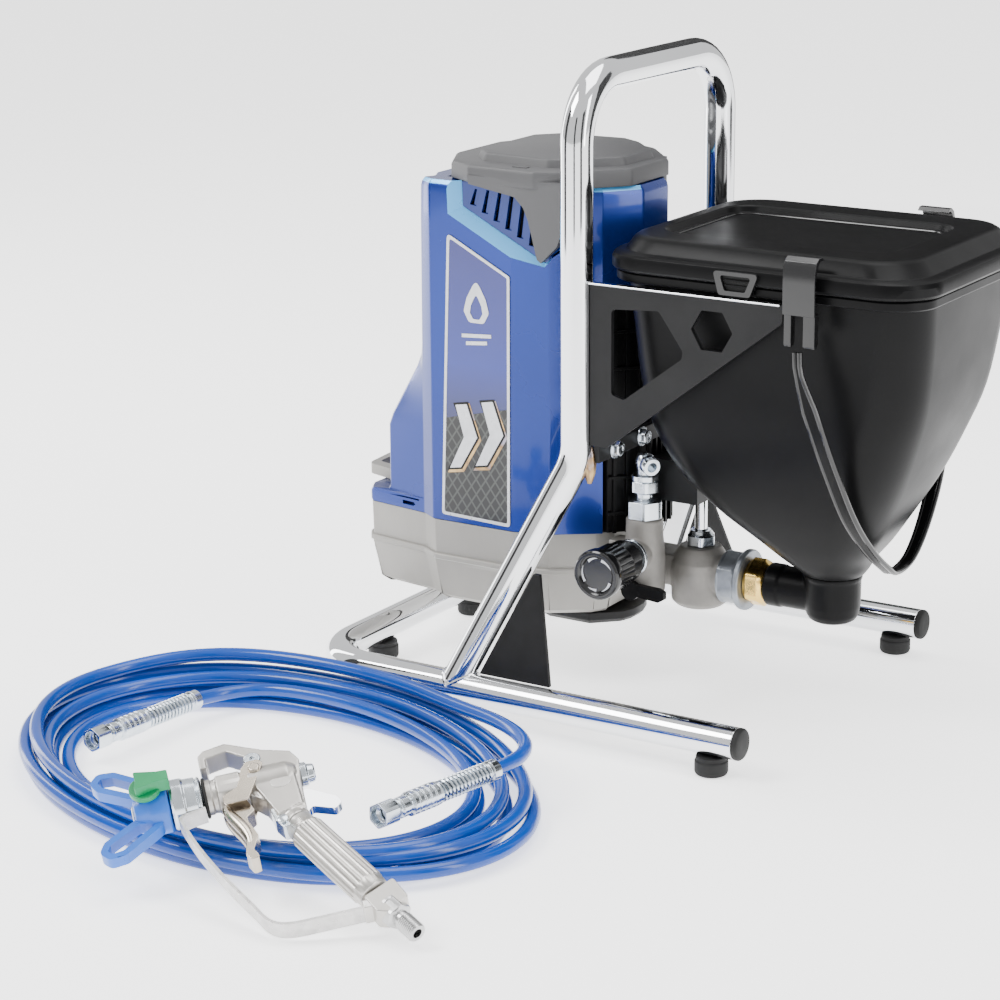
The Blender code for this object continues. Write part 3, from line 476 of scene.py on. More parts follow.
def rectangle(x0, x1, half, radius, z, steps=10):
    """A level rounded rectangle, half as wide each way in Y, as a ring of points."""
    ring = []
    for x, y, start in ((x1, half, 0), (x0, half, 90), (x0, -half, 180), (x1, -half, 270)):
        cx = x - math.copysign(radius, x - (x0 + x1) / 2)
        cy = y - math.copysign(radius, y)
        for k in range(steps + 1):
            angle = math.radians(start + 90 * k / steps)
            ring.append(Vector((cx + radius * math.cos(angle), cy + radius * math.sin(angle), z)))
    return ring


def inset(outline, distance):
    """A flat outline moved inwards by a distance."""
    moved = []
    count = len(outline)
    middle = sum((Vector(p) for p in outline), Vector((0, 0))) / count
    for i, point in enumerate(outline):
        p = Vector(point)
        u = (p - Vector(outline[i - 1])).normalized()
        v = (Vector(outline[(i + 1) % count]) - p).normalized()
        normal = Vector((u.y + v.y, -u.x - v.x)).normalized()
        if normal.dot(middle - p) < 0:
            normal = -normal
        cosine = max(0.5, abs(Vector((u.y, -u.x)).dot(normal)))
        moved.append(p + normal * distance / cosine)
    return moved


def mirrored(half):
    return [tuple(p) for p in half] + [(x, -y) for x, y in reversed(half)]


def level(outline, z):
    return [Vector((p[0], p[1], z)) for p in outline]


def stepped(outline, steps):
    """Level rings of one outline. Each step is (how far it is moved inwards, height)."""
    return [level(inset(outline, distance), z) for distance, z in steps]


def plate(name, outline, thickness, place, finish, holes=(), **rest):
    """A flat plate with holes. place(u, v, w) gives the point, and w runs 0 to thickness."""
    loops = [list(outline)] + [list(h) for h in holes]
    flat = [(p[0], p[1]) for loop in loops for p in loop]
    triangles = tessellate_polygon([[Vector((p[0], p[1], 0)) for p in loop] for loop in loops])
    total = len(flat)
    verts = [place(u, v, 0) for u, v in flat] + [place(u, v, thickness) for u, v in flat]
    if holes:
        faces = [tuple(t) for t in triangles]
        faces += [tuple(i + total for i in reversed(t)) for t in triangles]
    else:
        faces = [tuple(range(total)), tuple(range(2 * total - 1, total - 1, -1))]
    start = 0
    for loop in loops:
        for k in range(len(loop)):
            a = start + k
            b = start + (k + 1) % len(loop)
            faces.append((a, b, b + total, a + total))
        start += len(loop)
    return build(name, verts, faces, finish, **rest)


def xz(y0, away=1):
    """Places a plate drawn in X and Z, with its thickness running along Y."""
    return lambda u, v, w: Vector((u, y0 + away * w, v))


def block(name, low, high, finish, **rest):
    outline = [(low[0], low[1]), (high[0], low[1]), (high[0], high[1]), (low[0], high[1])]
    return loft(name, [level(outline, low[2]), level(outline, high[2])], finish, **rest)


def cut(target, operation, tools):
    """Cuts or joins target with the tools, and applies it."""
    for tool in tools:
        change = target.modifiers.new(tool.name, "BOOLEAN")
        change.operation = operation
        change.solver = "EXACT"
        change.object = tool
    bpy.context.view_layer.update()
    apply_modifiers(target)
    for tool in tools:
        bpy.data.objects.remove(tool, do_unlink=True)
    return target


def apply_modifiers(target):
    graph = bpy.context.evaluated_depsgraph_get()
    mesh = bpy.data.meshes.new_from_object(target.evaluated_get(graph))
    target.modifiers.clear()
    target.data = mesh


def melted(target, voxel, passes):
    """Runs a piece's joined shapes into one another, as in a casting."""
    remesh = target.modifiers.new("remesh", "REMESH")
    remesh.mode = "VOXEL"
    remesh.voxel_size = voxel * MM
    remesh.use_smooth_shade = True
    relax = target.modifiers.new("relax", "SMOOTH")
    relax.iterations = passes
    relax.factor = 0.5
    apply_modifiers(target)
    target.data.shade_smooth()
    return target


def refined(node, finish, body="stand", slot=None, bevel=0.6, steps=2):
    """A CAD node's own shape with its flat faces made whole and its edges rounded."""
    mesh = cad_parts[node].data.copy()
    bm = bmesh.new()
    bm.from_mesh(mesh)
    bmesh.ops.remove_doubles(bm, verts=bm.verts, dist=1e-6)
    flat = math.radians(1.0)
    bmesh.ops.dissolve_limit(bm, angle_limit=flat, verts=bm.verts, edges=bm.edges)
    bm.to_mesh(mesh)
    bm.free()
    if "custom_normal" in mesh.attributes:
        mesh.attributes.remove(mesh.attributes["custom_normal"])
    return dress(node + FINISHED, mesh, finish, body, slot, (), bevel, steps)


def paint(node, finish):
    """A CAD node that stays, with a better material."""
    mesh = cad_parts[node].data
    mesh.materials.clear()
    mesh.materials.append(look(finish))


def bolt(name, place, direction, across, height, washer):
    """A hexagon head with a chamfered top, on a washer."""
    start = 1.2
    top = start + height
    profile = [(0, washer), (start, washer), (start, across, "hex"), (top - 0.8, across, "hex"),
               (top, across * 0.44), (top, across * 0.25), (top - 0.6, across * 0.22)]
    turned(name, place, direction, profile, "zinc", sides=36, slot=NO_SLOT, bevel=0.25)


# ---------------------------------------------------------------- camera, light and floor

AZIMUTH = math.radians(32.25)
ELEVATION = math.radians(16.0)
ROLL = math.radians(-0.43)
CAMERA_AT = (1124.5, -1975.2, 801.9)
LENS = 103.29


def set_camera():
    back = Vector((math.sin(AZIMUTH) * math.cos(ELEVATION),
                   -math.cos(AZIMUTH) * math.cos(ELEVATION), math.sin(ELEVATION)))
    right = (-back).cross(Vector((0, 0, 1))).normalized()
    up = right.cross(-back)
    across = math.cos(ROLL) * right + math.sin(ROLL) * up
    upward = -math.sin(ROLL) * right + math.cos(ROLL) * up
    turn = Matrix((across, upward, back)).transposed().to_4x4()
    data = bpy.data.cameras.new("camera")
    data.lens = LENS
    data.sensor_width = 36.0
    camera = bpy.data.objects.new("camera", data)
    camera.matrix_world = Matrix.Translation(at(CAMERA_AT)) @ turn
    bpy.context.scene.collection.objects.link(camera)
    bpy.context.scene.camera = camera


def placed(made, centre, towards, axis):
    """Links an object, with that axis of its own turned towards a point, in metres."""
    facing = (Vector(towards) - Vector(centre)).to_track_quat(axis, "Y")
    made.matrix_world = Matrix.Translation(Vector(centre)) @ facing.to_matrix().to_4x4()
    bpy.context.scene.collection.objects.link(made)


def card(name, centre, towards, width, height):
    """A flat panel in metres, facing a point."""
    mesh = bpy.data.meshes.new(name)
    w = width / 2
    h = height / 2
    mesh.from_pydata([(-w, -h, 0), (w, -h, 0), (w, h, 0), (-w, h, 0)], [], [(0, 1, 2, 3)])
    made = bpy.data.objects.new(name, mesh)
    placed(made, centre, towards, "Z")
    return made


def area_light(name, centre, towards, width, height, power):
    data = bpy.data.lights.new(name, "AREA")
    data.shape = "RECTANGLE"
    data.size = width
    data.size_y = height
    data.energy = power
    placed(bpy.data.objects.new(name, data), centre, towards, "-Z")


def set_studio():
    world = bpy.data.worlds.new("studio")
    world.use_nodes = True
    sky = world.node_tree.nodes["Background"]
    sky.inputs["Color"].default_value = (1.0, 1.0, 1.0, 1.0)
    sky.inputs["Strength"].default_value = 1.0
    bpy.context.scene.world = world
    middle = (0.0, 0.05, 0.2)
    area_light("key", (-1.6, -1.5, 2.6), middle, 1.4, 1.4, 90)
    area_light("top", (0.2, 0.4, 2.8), middle, 2.4, 1.6, 55)
    area_light("right_strip", (2.4, -0.2, 1.2), middle, 0.5, 2.2, 26)
    area_light("left_strip", (-2.3, 0.4, 1.0), middle, 0.4, 2.2, 22)
    floor = card("floor", (0, 0, -0.0004), (0, 0, 1), 60, 60)
    floor.data.materials.append(look("floor_paint"))
    for name, centre, width in (("flag_a", (0.55, -2.4, 0.9), 0.5),
                                ("flag_b", (2.1, -1.1, 0.8), 0.6),
                                ("flag_c", (-1.9, -1.2, 0.8), 0.8),
                                ("flag_d", (-0.6, 2.3, 0.8), 1.2),
                                ("flag_e", (1.9, 1.5, 0.8), 1.0)):
        flag = card(name, centre, (0, 0, 0.5), width, 2.2)
        flag.data.materials.append(look("shade_and_print_black"))
        flag.visible_camera = False
        flag.visible_shadow = False
        flag.visible_diffuse = False


# ---------------------------------------------------------------- hose

HOSE_R = 5.5
COIL_OUTER = (Vector((-102.0, -354.0, 0.0)), 165.0, 246.0)   # centre and semi-axes
COIL_INNER = (Vector((-110.0, -354.0, 0.0)), 120.0, 176.0)
COIL_TURN = math.radians(74.0)
COIL_RISE = 0.36       # how much higher the turns lie over one another at the far side
COIL_RISE_Y = 272.0
COIL_RISE_RUN = 60.0
POINTS_A_TURN = 44
RELAXED_SPACING = 8.0
RELAXED_PASSES = 14
FITTING_A = (Vector((-244.0, -396.0, 20.0)), Vector((-236.0, -276.0, 18.0)))
FITTING_B = (Vector((64.0, -456.0, 43.8)), Vector((86.0, -338.0, 43.8)))
TUBE_A = [(-235.9, -275.0, 18.0), (-234.5, -264.0, 17.0), (-231.5, -256.0, 16.0)]
TUBE_B = [(86.2, -337.0, 43.8), (88.0, -322.0, 42.5), (87.0, -304.0, 40.7), (83.0, -286.0, 39.6)]
# each turn's place across the coil, 0 at its outer edge and 1 at its inner edge, and its height
STRANDS = ((0.84, 16.8), (0.84, 6.4), (0.50, 6.2), (0.15, 6.2), (0.16, 17.3), (0.52, 17.2),
           (0.26, 27.6))


def coil_axes():
    short_axis = Vector((math.cos(COIL_TURN), math.sin(COIL_TURN), 0))
    return short_axis, Vector((-short_axis.y, short_axis.x, 0))


def coil_point(angle, inward, height):
    """A point over the coil's oval, measured round from its short axis."""
    short_axis, long_axis = coil_axes()
    centre = COIL_OUTER[0].lerp(COIL_INNER[0], inward)
    across = (COIL_OUTER[1] + (COIL_INNER[1] - COIL_OUTER[1]) * inward) * math.cos(angle)
    along = (COIL_OUTER[2] + (COIL_INNER[2] - COIL_OUTER[2]) * inward) * math.sin(angle)
    point = centre + across * short_axis + along * long_axis
    rise = min(1.0, max(0.0, (point.y + COIL_RISE_Y) / COIL_RISE_RUN))
    point.z = HOSE_R + 0.5 + (height - HOSE_R - 0.5) * (1 + COIL_RISE * rise)
    return point


def angle_of(point):
    """Where a point lies round the oval."""
    away = Vector(point) - COIL_INNER[0]
    short_axis, long_axis = coil_axes()
    return math.atan2(away.dot(long_axis) / COIL_INNER[2], away.dot(short_axis) / COIL_INNER[1])


def hose_route():
    """From one fitting through the turns of the coil to the other fitting."""
    start = angle_of(TUBE_A[-1])
    end = angle_of(TUBE_B[-1])
    begin = [FITTING_A[1] + (FITTING_A[0] - FITTING_A[1]) * 0.1] + [Vector(p) for p in TUBE_A[:2]]
    begin += [Vector((-228, -246, 16.5)), Vector((-216, -233.5, 17.3)), Vector((-198, -226, 18.3))]
    turns = len(STRANDS) - 1
    span = 2 * math.pi * turns + (start - end) % (2 * math.pi)
    count = POINTS_A_TURN * turns
    coil = []
    first = 0.45
    last = 0.6
    for k in range(count + 1):
        turned_by = first + (span - first - last) * k / count
        place = turned_by / (2 * math.pi)
        i = min(int(place), len(STRANDS) - 1)
        j = min(i + 1, len(STRANDS) - 1)
        t = place - i
        t = t * t * (3 - 2 * t)
        inward = STRANDS[i][0] * (1 - t) + STRANDS[j][0] * t + 0.03 * math.sin(2.3 * turned_by)
        height = STRANDS[i][1] * (1 - t) + STRANDS[j][1] * t
        coil.append(coil_point(start - turned_by, inward, height))
    finish = [Vector((3, -229.5, 36.5)), Vector((31, -241.5, 38)), Vector((54, -255, 39))]
    finish += [Vector((72, -270, 39.5))] + [Vector(p) for p in reversed(TUBE_B)]
    finish.append(FITTING_B[1] + (FITTING_B[0] - FITTING_B[1]) * 0.1)
    return begin + coil + finish


def relaxed(path, spacing, passes):
    """The path with evenly spaced points, and its bends eased."""
    even = [path[0]]
    for a, b in zip(path, path[1:]):
        while (b - even[-1]).length > spacing and (b - a).length > 0:
            even.append(even[-1] + (b - even[-1]).normalized() * spacing)
    even.append(path[-1])
    for step in range(passes):
        middle = [(a + 2 * b + c) / 4 for a, b, c in zip(even[1:], even[2:], even[3:])]
        even = even[:2] + middle + even[-1:]
    return even


def hose():
    path = relaxed(smooth(hose_route()), RELAXED_SPACING, RELAXED_PASSES)
    data = bpy.data.curves.new("fluid_hose", "CURVE")
    data.dimensions = "3D"
    data.bevel_depth = HOSE_R * MM
    data.bevel_resolution = 4
    data.use_fill_caps = True
    line = data.splines.new("POLY")
    line.points.add(len(path) - 1)
    for spot, point in zip(line.points, path):
        spot.co = (*at(point), 1.0)
    line.use_smooth = True
    data.materials.append(look("hose_cover"))
    piece = bpy.data.objects.new("fluid_hose", data)
    bpy.context.scene.collection.objects.link(piece)
    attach(piece, "stand")
    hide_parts("hose_coil", "hose_tube_a", "hose_tube_b")
    length = sum((b - a).length for a, b in zip(path, path[1:])) * MM
    print("hose length", round(length, 3))
    at(path[0])


def hose_ends():
    """Swivel nuts, crimped ferrules and the spring guards behind them."""
    for letter, (nut_end, spring_end) in (("a", FITTING_A), ("b", FITTING_B)):
        along = (spring_end - nut_end).normalized()
        length = (spring_end - nut_end).length
        nut = [(0, 17, "hex"), (13.5, 17, "hex"), (15, 8.2), (17, 7), (17, 4.4), (6, 4.4),
               (5, 6.6), (0, 7.2)]
        turned("hose_nut_%s_finished" % letter, nut_end, along, nut, "zinc", loop=True,
               body="hose_nut_" + letter, bevel=0.3)
        ferrule = [(8, 3.6), (17.4, 3.6), (17.4, 6), (19, 6), (20, 7.6), (26, 7.6), (27, 6.6),
                   (29, 6.6)]
        for k in range(5):
            ferrule += [(30 + 5.4 * k, 8.9), (33.4 + 5.4 * k, 8.9), (34.4 + 5.4 * k, 8.3)]
        ferrule += [(58, 8.6), (60, 7.0), (62, 6.4), (length - 9, 6.2), (length - 8, 8.0)]
        ferrule += [(length - 1, 8.0), (length - 0.6, 6.0)]
        turned("hose_fitting_%s_finished" % letter, nut_end, along, ferrule, "zinc", sides=32,
               bevel=0.3)
        side, other = axes_for(along)[1:]
        coils = []
        per_turn = 14
        count = 13 * per_turn
        for k in range(count + 1):
            angle = 2 * math.pi * k / per_turn
            step = 60 + (length - 70) * k / count
            spoke = math.cos(angle) * side + math.sin(angle) * other
            coils.append(nut_end + along * step + 7.3 * spoke)
        rod("hose_spring_" + letter, coils, 0.85, "zinc", 6)


# ---------------------------------------------------------------- stand

TUBE_R = 12.7
LEG_Z = 28.0
LEG_Y = 166.1
LEG_END_X = 193.0
CLOSED_X = -196.0
FOOT_X = -61.3
UPRIGHT_X = 22.1
UPRIGHT_Y = 115.4
BEND_Z = 215.4
HANDLE_Z = 510.0
BEND_R = 50.0
BRACKET_TOP = 357.5
BRACKET_X0 = UPRIGHT_X + TUBE_R + GAP


def tubes():
    corners = [(LEG_END_X, -LEG_Y, LEG_Z), (CLOSED_X, -LEG_Y, LEG_Z), (CLOSED_X, LEG_Y, LEG_Z),
               (LEG_END_X, LEG_Y, LEG_Z)]
    rod("floor_tube", rounded(corners, BEND_R), TUBE_R, "chrome", 40, stands_for=("base_tube",),
        bevel=0.6)
    slope = Vector((UPRIGHT_X - FOOT_X, LEG_Y - UPRIGHT_Y, BEND_Z - LEG_Z)).normalized()
    starts = []
    for side in (-1, 1):
        lift = Vector((slope.x, -side * slope.y, slope.z)) * 4.0
        starts.append(Vector((FOOT_X, side * LEG_Y, LEG_Z)) + lift)
    corners = [starts[0], (UPRIGHT_X, -UPRIGHT_Y, BEND_Z), (UPRIGHT_X, -UPRIGHT_Y, HANDLE_Z),
               (UPRIGHT_X, UPRIGHT_Y, HANDLE_Z), (UPRIGHT_X, UPRIGHT_Y, BEND_Z), starts[1]]
    rod("upright_tube", rounded(corners, BEND_R), TUBE_R, "chrome", 40,
        stands_for=("handle_tube",))


def weld_beads():
    """Beads where the uprights meet the legs, and heat-tinted spots at the mounting bar."""
    slope = Vector((UPRIGHT_X - FOOT_X, 0, BEND_Z - LEG_Z))
    for name, side in SIDES:
        axis = Vector((slope.x, -side * (LEG_Y - UPRIGHT_Y), slope.z)).normalized()
        foot = Vector((FOOT_X, side * LEG_Y, LEG_Z))
        across, other = axes_for(axis)[1:]
        bead = []
        for k in range(49):
            angle = 2 * math.pi * k / 48
            spoke = TUBE_R * (math.cos(angle) * across + math.sin(angle) * other)
            a = axis.y ** 2 + axis.z ** 2
            b = spoke.y * axis.y + spoke.z * axis.z
            c = spoke.y ** 2 + spoke.z ** 2 - TUBE_R ** 2
            reach = (-b + math.sqrt(max(0.0, b * b - a * c))) / a
            bead.append(foot + spoke + axis * reach)
        rod("foot_weld_" + name, bead, 1.5, "chrome", 8)
        spot = [(BRACKET_X0 - 3, side * (UPRIGHT_Y - 3), z) for z in (196, 204, 212, 220, 228)]
        ring = swept(spot, [2.0, 4.6, 5.4, 4.6, 2.0], 12)
        loft("bar_weld_" + name, ring, "tinted_weld")


def leg_ends():
    profile = [(-14, 10.4), (GAP, 10.4), (GAP, TUBE_R - 0.1), (3, TUBE_R - 0.1),
               (4.4, TUBE_R - 1.2), (5, TUBE_R - 3), (4.6, 3)]
    for name, side in SIDES:
        start = (LEG_END_X, side * LEG_Y, LEG_Z)
        turned("leg_plug_" + name, start, (1, 0, 0), profile, "rubber",
               stands_for=("leg_cap_" + name,), bevel=0.3)


def feet():
    top = LEG_Z - TUBE_R - GAP
    profile = [(0, 11), (0.6, 12.2), (2.6, 13), (top - 4, 13), (top - 3, 12), (top, 12)]
    for name, side in SIDES:
        for end, x, y in (("open", 171.0, LEG_Y), ("closed", CLOSED_X, 70.0)):
            node = "foot_%s_%s" % (name, end)
            turned(node + "_finished", (x, side * y, 0), (0, 0, 1), profile, "rubber", bevel=0.5)


def plates():
    for name, side in SIDES:
        refined("gusset_" + name, "powder_coat", bevel=0.5)
        y = side * (UPRIGHT_Y + 2.0)
        strip = [(BRACKET_X0, y - 3.4, BRACKET_TOP - 1.4), (198, y + 3.4, BRACKET_TOP + 0.1)]
        block("bracket_edge_" + name, *strip, "chrome", bevel=0.5)
        brackets(name, side)
    refined("mount_bar", "powder_coat", bevel=0.8)
    refined("base_plate", "powder_coat", bevel=0.8)
    for k, y in enumerate((-88, -45, 45, 88)):
        bolt("bar_bolt_%d" % k, (BRACKET_X0 + 5.5, y, 220), (1, 0, 0), 11, 5, washer=8.0)


def brackets(name, side):
    x0 = BRACKET_X0
    corners = [(x0, BRACKET_TOP - 1), (199, BRACKET_TOP - 1), (199, 343), (109, 273.4), (50, 228),
               (x0, 228)]
    # only the third corner is rounded, and filleted() gives six points to each
    nose = [tuple(p) for p in filleted(corners, 5, 5)[12:18]]
    outline = corners[:2] + nose + corners[3:]
    window = filleted([(54, 338), (95, 341), (116, 312), (115, 306), (65, 268), (54, 271)], 4)
    hexagonal = []
    for k in range(6):
        angle = math.pi / 3 * k
        hexagonal.append((140.4 + 17.5 * math.cos(angle), 330.6 + 17.5 * math.sin(angle)))
    plate("hopper_bracket_%s_finished" % name, outline, 4.0, xz(side * (UPRIGHT_Y - 2.0), side),
          "powder_coat", [window, filleted(hexagonal, 1.5)], bevel=0.45)


# ---------------------------------------------------------------- drive unit

SHROUD_BOTTOM = 134.3
SHROUD_TOP = 416.5
FACE_Y = 79.5
BODY_FRONT = [(-152, -70), (-137, -FACE_Y), (-60, -FACE_Y), (-29, -72), (6, -48)]
NOTCH = [(-112, 440), (-110, 396), (-33, 357), (-14, 372), (-6, 400), (-6, 440)]


def body_outline(left, grow=0.0, radius=5.0):
    """Plan of the shroud, whose left end moves with height."""
    half = [(left - 5, -48), (left + 2, -61)] + BODY_FRONT + [(27, -20)]
    outline = filleted(mirrored(half), radius, 3)
    return inset(outline, -grow) if grow else outline


def shroud():
    steps = [(SHROUD_BOTTOM, -213), (136, -214), (143, -214), (146, -212), (147, -196),
             (149, -194), (203, -194), (212, -190.5), (225, -183), (256, -165), (268, -160.5),
             (279, -158.5), (316, -157), (383, -154), (410, -150)]
    rings = [level(body_outline(left), z) for z, left in steps]
    top = body_outline(-147.5)
    rings += [level(inset(top, 0.8), 413.5), level(inset(top, 3.2), SHROUD_TOP)]
    made = loft("shroud_finished", rings, "blue_paint")
    tools = []
    for name, side in SIDES:
        wide = inset(NOTCH, -22)
        cutter = [[(u, side * 92, v) for u, v in wide], [(u, side * 70.5, v) for u, v in NOTCH]]
        cutter.append([(u, side * 60, v) for u, v in NOTCH])
        tools.append(loft("notch_" + name, cutter, "shade_and_print_black", body=None))
        slot = [(-176, 137.8), (-164, 137.8), (-162, 139.4), (-164, 141), (-176, 141)]
        tools.append(plate("slot_" + name, slot, 30, xz(side * 90, -side), "shade_and_print_black", body=None))
        groove = [(-230, 143.2), (-158, 143.2), (-158, 144.6), (-230, 144.6)]
        tools.append(plate("groove_" + name, groove, 30, xz(side * 94, -side), "shade_and_print_black",
                           body=None))
    inside = mirrored([(-132, -60), (-62, -66), (-32, -60), (-6, -42), (8, -16)])
    tools.append(loft("hollow", [level(inside, 345), level(inside, 440)], "shade_and_print_black", body=None))
    tools.append(block("back", (-2, -47.6, 120), (60, 47.6, 332), "shade_and_print_black", body=None))
    cut(made, "DIFFERENCE", tools)
    bevelled(made, 1.4, 3, 30)
    painted_highlight_chamfer(made)
    inside = inset(inside, 2)
    # a near-black block inside the hollow: painted shade where the vent's inside lies in shadow
    loft("vent_dark", [level(inside, 346), level(inside, 402)], "shade_and_print_black")


def painted_highlight_chamfer(made):
    """The sloped faces round the notches take a lighter blue, a painted highlight chosen by which
    way each face points.
    """
    made.data.materials.append(look("painted_highlight_blue"))
    for face in made.data.polygons:
        normal = face.normal
        low = at((0, 0, 352)).z
        left = at((-104, 0, 0)).x
        slope = 0.45 < abs(normal.y) < 0.86
        lower = normal.z > 0.3
        upright = normal.x > 0.5 and face.center.x < left
        if slope and face.center.z > low and (lower or upright):
            face.material_index = 1


def top_cap():
    half = [(-142, -32), (-124, -66), (-100, -79), (-38, -82), (-10, -68), (22, -30)]
    outline = filleted(mirrored(half), 7, 4)
    steps = [(3, SHROUD_TOP + 0.6), (0, SHROUD_TOP + 0.6), (0, 428), (1.2, 430.4), (3.6, 431.6)]
    rings = stepped(outline, steps)
    plateau = filleted(mirrored([(-112, -40), (-96, -58), (-36, -62), (-16, -50), (10, -22)]), 6,
                       4)
    made = loft("top_cap_finished", rings, "grey_moulding", bevel=0.7)
    tongue = [(-100, 423), (-99, 416), (-68, 411), (-56, 409), (-48, 401), (-43.5, 391),
              (-35.5, 361), (-32, 358.5), (-17, 373), (-7.5, 400), (-7.5, 423)]
    tools = []
    for name, side in SIDES:
        tools.append(plate("tongue_" + name, tongue, 5.5, xz(side * 74.5, side), "grey_moulding",
                           body=None))
    cut(made, "UNION", tools)
    bevelled(made, 1.0, 3, 30)
    loft("cap_plateau", stepped(plateau, [(-3, 430.6), (0, 437.6), (2, 438.6)]), "grey_moulding",
         bevel=0.8)
    mark = filleted([(-62, -74), (-48, -74), (-48, -69), (-62, -69)], 1)
    loft("cap_mark", [level(mark, 430.8), level(mark, 432.4)], "grey_moulding", bevel=0.3)


def grille():
    """Slanting louvres behind the notch on each side."""
    for name, side in SIDES:
        for k in range(8):
            x = -110.0 + 11.4 * k
            bottom = 397 - 5.2 * k - 4
            top = 419
            blade = [(x - 4, bottom), (x + 1.5, bottom - 1), (x + 8.5, top), (x + 3, top)]
            plate("louvre_%s_%d" % (name, k), blade, 3.4, xz(side * 66.5, side), "grille_blue",
                  bevel=0.5)
    paint("vent_grille", "grille_blue")


LABEL = [(-119.5, 375), (-60.5, 345), (-61.5, 137.5), (-127.5, 139.5)]


def label_line(z, left):
    """The x of the label's left or right edge at a height."""
    (x0, z0), (x1, z1) = (LABEL[0], LABEL[3]) if left else (LABEL[1], LABEL[2])
    return x0 + (x1 - x0) * (z - z0) / (z1 - z0)


def label():
    """Framed label with a plain paint drop over two dashes, and two chevrons, without words."""
    face = xz(-FACE_Y - 0.1, -1)
    border = filleted(LABEL, 3, 3)
    inner = filleted([tuple(p) for p in inset(LABEL, 2.6)], 2, 3)
    plate("label_border", border, 1.2, face, "label_silver", [inner], bevel=0.3)
    left = [label_line(z, True) + 2.6 for z in (222, 141)]
    right = [label_line(z, False) - 2.6 for z in (236, 141)]
    field = [(label_line(370, True) + 2.7, 371), (-63.1, 343.4), (right[0], 236), (left[0], 222)]
    plate("label_field", field, 0.8, face, "label_blue")
    field = [(left[0], 221.9), (right[0], 235.9), (right[1], 140.4), (left[1], 142)]
    plate("label_net", field, 0.8, face, "label_mesh")
    front = xz(-FACE_Y - 0.9, -1)
    drop = [(-92 + u, 318 + v) for u, v in ((0, 22), (9, 6), (12, -5), (7, -14), (-7, -14),
                                            (-12, -5), (-9, 6))]
    heart = [(-92 + u, 315 + v) for u, v in ((0, 13), (5, 3), (6, -3), (3, -8), (-3, -8), (-6, -3),
                                             (-5, 3))]
    plate("label_drop", filleted(drop, 4), 0.5, front, "label_silver", [filleted(heart, 2)])
    for k in range(2):
        dash = [(-106 + 4 * k, 291 - 6 * k), (-78 - 4 * k, 293 - 6 * k),
                (-78 - 4 * k, 296 - 6 * k)]
        dash.append((-106 + 4 * k, 294 - 6 * k))
        plate("label_dash_%d" % k, dash, 0.5, front, "label_silver")
    for k in range(2):
        left = -119 + 25 * k
        low = 180 + 5 * k
        arrow = [(left, low), (left + 11, low + 2), (left + 27, low + 29), (left + 17, low + 56),
                 (left + 6, low + 54), (left + 14, low + 28)]
        plate("label_arrow_%d" % k, arrow, 0.7, front, "label_silver", bevel=0.3)
        plate("label_arrow_edge_%d" % k, inset(arrow, -1.6), 0.45, front, "shade_and_print_black")
        low_edge = [(u + 1.2, v - 1.6) for u, v in inset(arrow, -2.2)]
        plate("label_arrow_glow_%d" % k, low_edge, 0.25, front, "tinted_weld", slot="brass")


def drive_housing():
    half = [(-220, -50), (-212, -62), (-152, -71), (-136, -81), (-60, -81), (-30, -73), (2, -50)]
    outline = filleted(mirrored(half + [(12, -36)]), 6, 4)
    steps = [(26, 62), (16, 62.4), (9, 67), (2.6, 95), (1.6, 99.5), (0, 100.5), (0, 103.6),
             (0.8, 104.6), (2.4, 105), (1.7, SHROUD_BOTTOM - 0.6), (8, SHROUD_BOTTOM - 0.6)]
    rings = stepped(outline, steps)
    loft("drive_housing_finished", rings, "cast_housing", bevel=0.6)
    ear = filleted([(-236, 20), (-232, -22), (-205, -30), (-200, -30), (-200, 30), (-205, 30)], 9)
    hole = filleted([(-228, 11), (-227, -13), (-212, -17), (-212, 14)], 5)
    plate("housing_ear", ear, 9, lambda u, v, w: Vector((u, v - 12, 149 + w)), "cast_housing",
          [hole], bevel=1.2)


def rear_casing():
    refined("rear_housing", "black_moulding", bevel=0.5)
    for k in range(6):
        z = 150 + 30 * k
        for name, side in SIDES:
            rib = [(9.5, side * 45.5), (11.5, side * 47), (33.5, side * 24), (31.5, side * 22.5)]
            loft("casing_rib_%s_%d" % (name, k), [level(rib, z), level(rib, z + 2.4)],
                 "black_moulding", bevel=0.4)
    refined("crank_housing", "powder_coat", bevel=1.5)


def switch_side():
    """Bezel round the rocker, and the cord's strain relief, on the far side."""
    y = FACE_Y + GAP
    outer = filleted([(-110, 277), (-90, 277), (-90, 303), (-110, 303)], 3)
    inner = filleted([(-107, 280), (-93, 280), (-93, 300), (-107, 300)], 1.5)
    plate("switch_bezel", outer, 2.2, xz(y), "black_moulding", [inner], bevel=0.5)
    refined("power_switch", "glossy_moulding", "power_switch")
    profile = [(0, 11), (2, 11), (2, 8.4)]
    for k in range(5):
        profile += [(4 + 4 * k, 8.0 - 0.6 * k), (6 + 4 * k, 8.0 - 0.6 * k),
                    (6.4 + 4 * k, 6.4 - 0.5 * k)]
    profile += [(24, 4.6), (24, 3.4), (4, 3.4), (2, 3.4)]
    turned("cord_gland_finished", (-100, y, 170), (0, 1, 0), profile, "rubber", sides=32,
           bevel=0.3)


# ---------------------------------------------------------------- pump

OUTLET = (41.0, -40.0)
PUMP = (71.0, 0.0)
KNOB_Z = 123.5
INLET_Z = 100.0


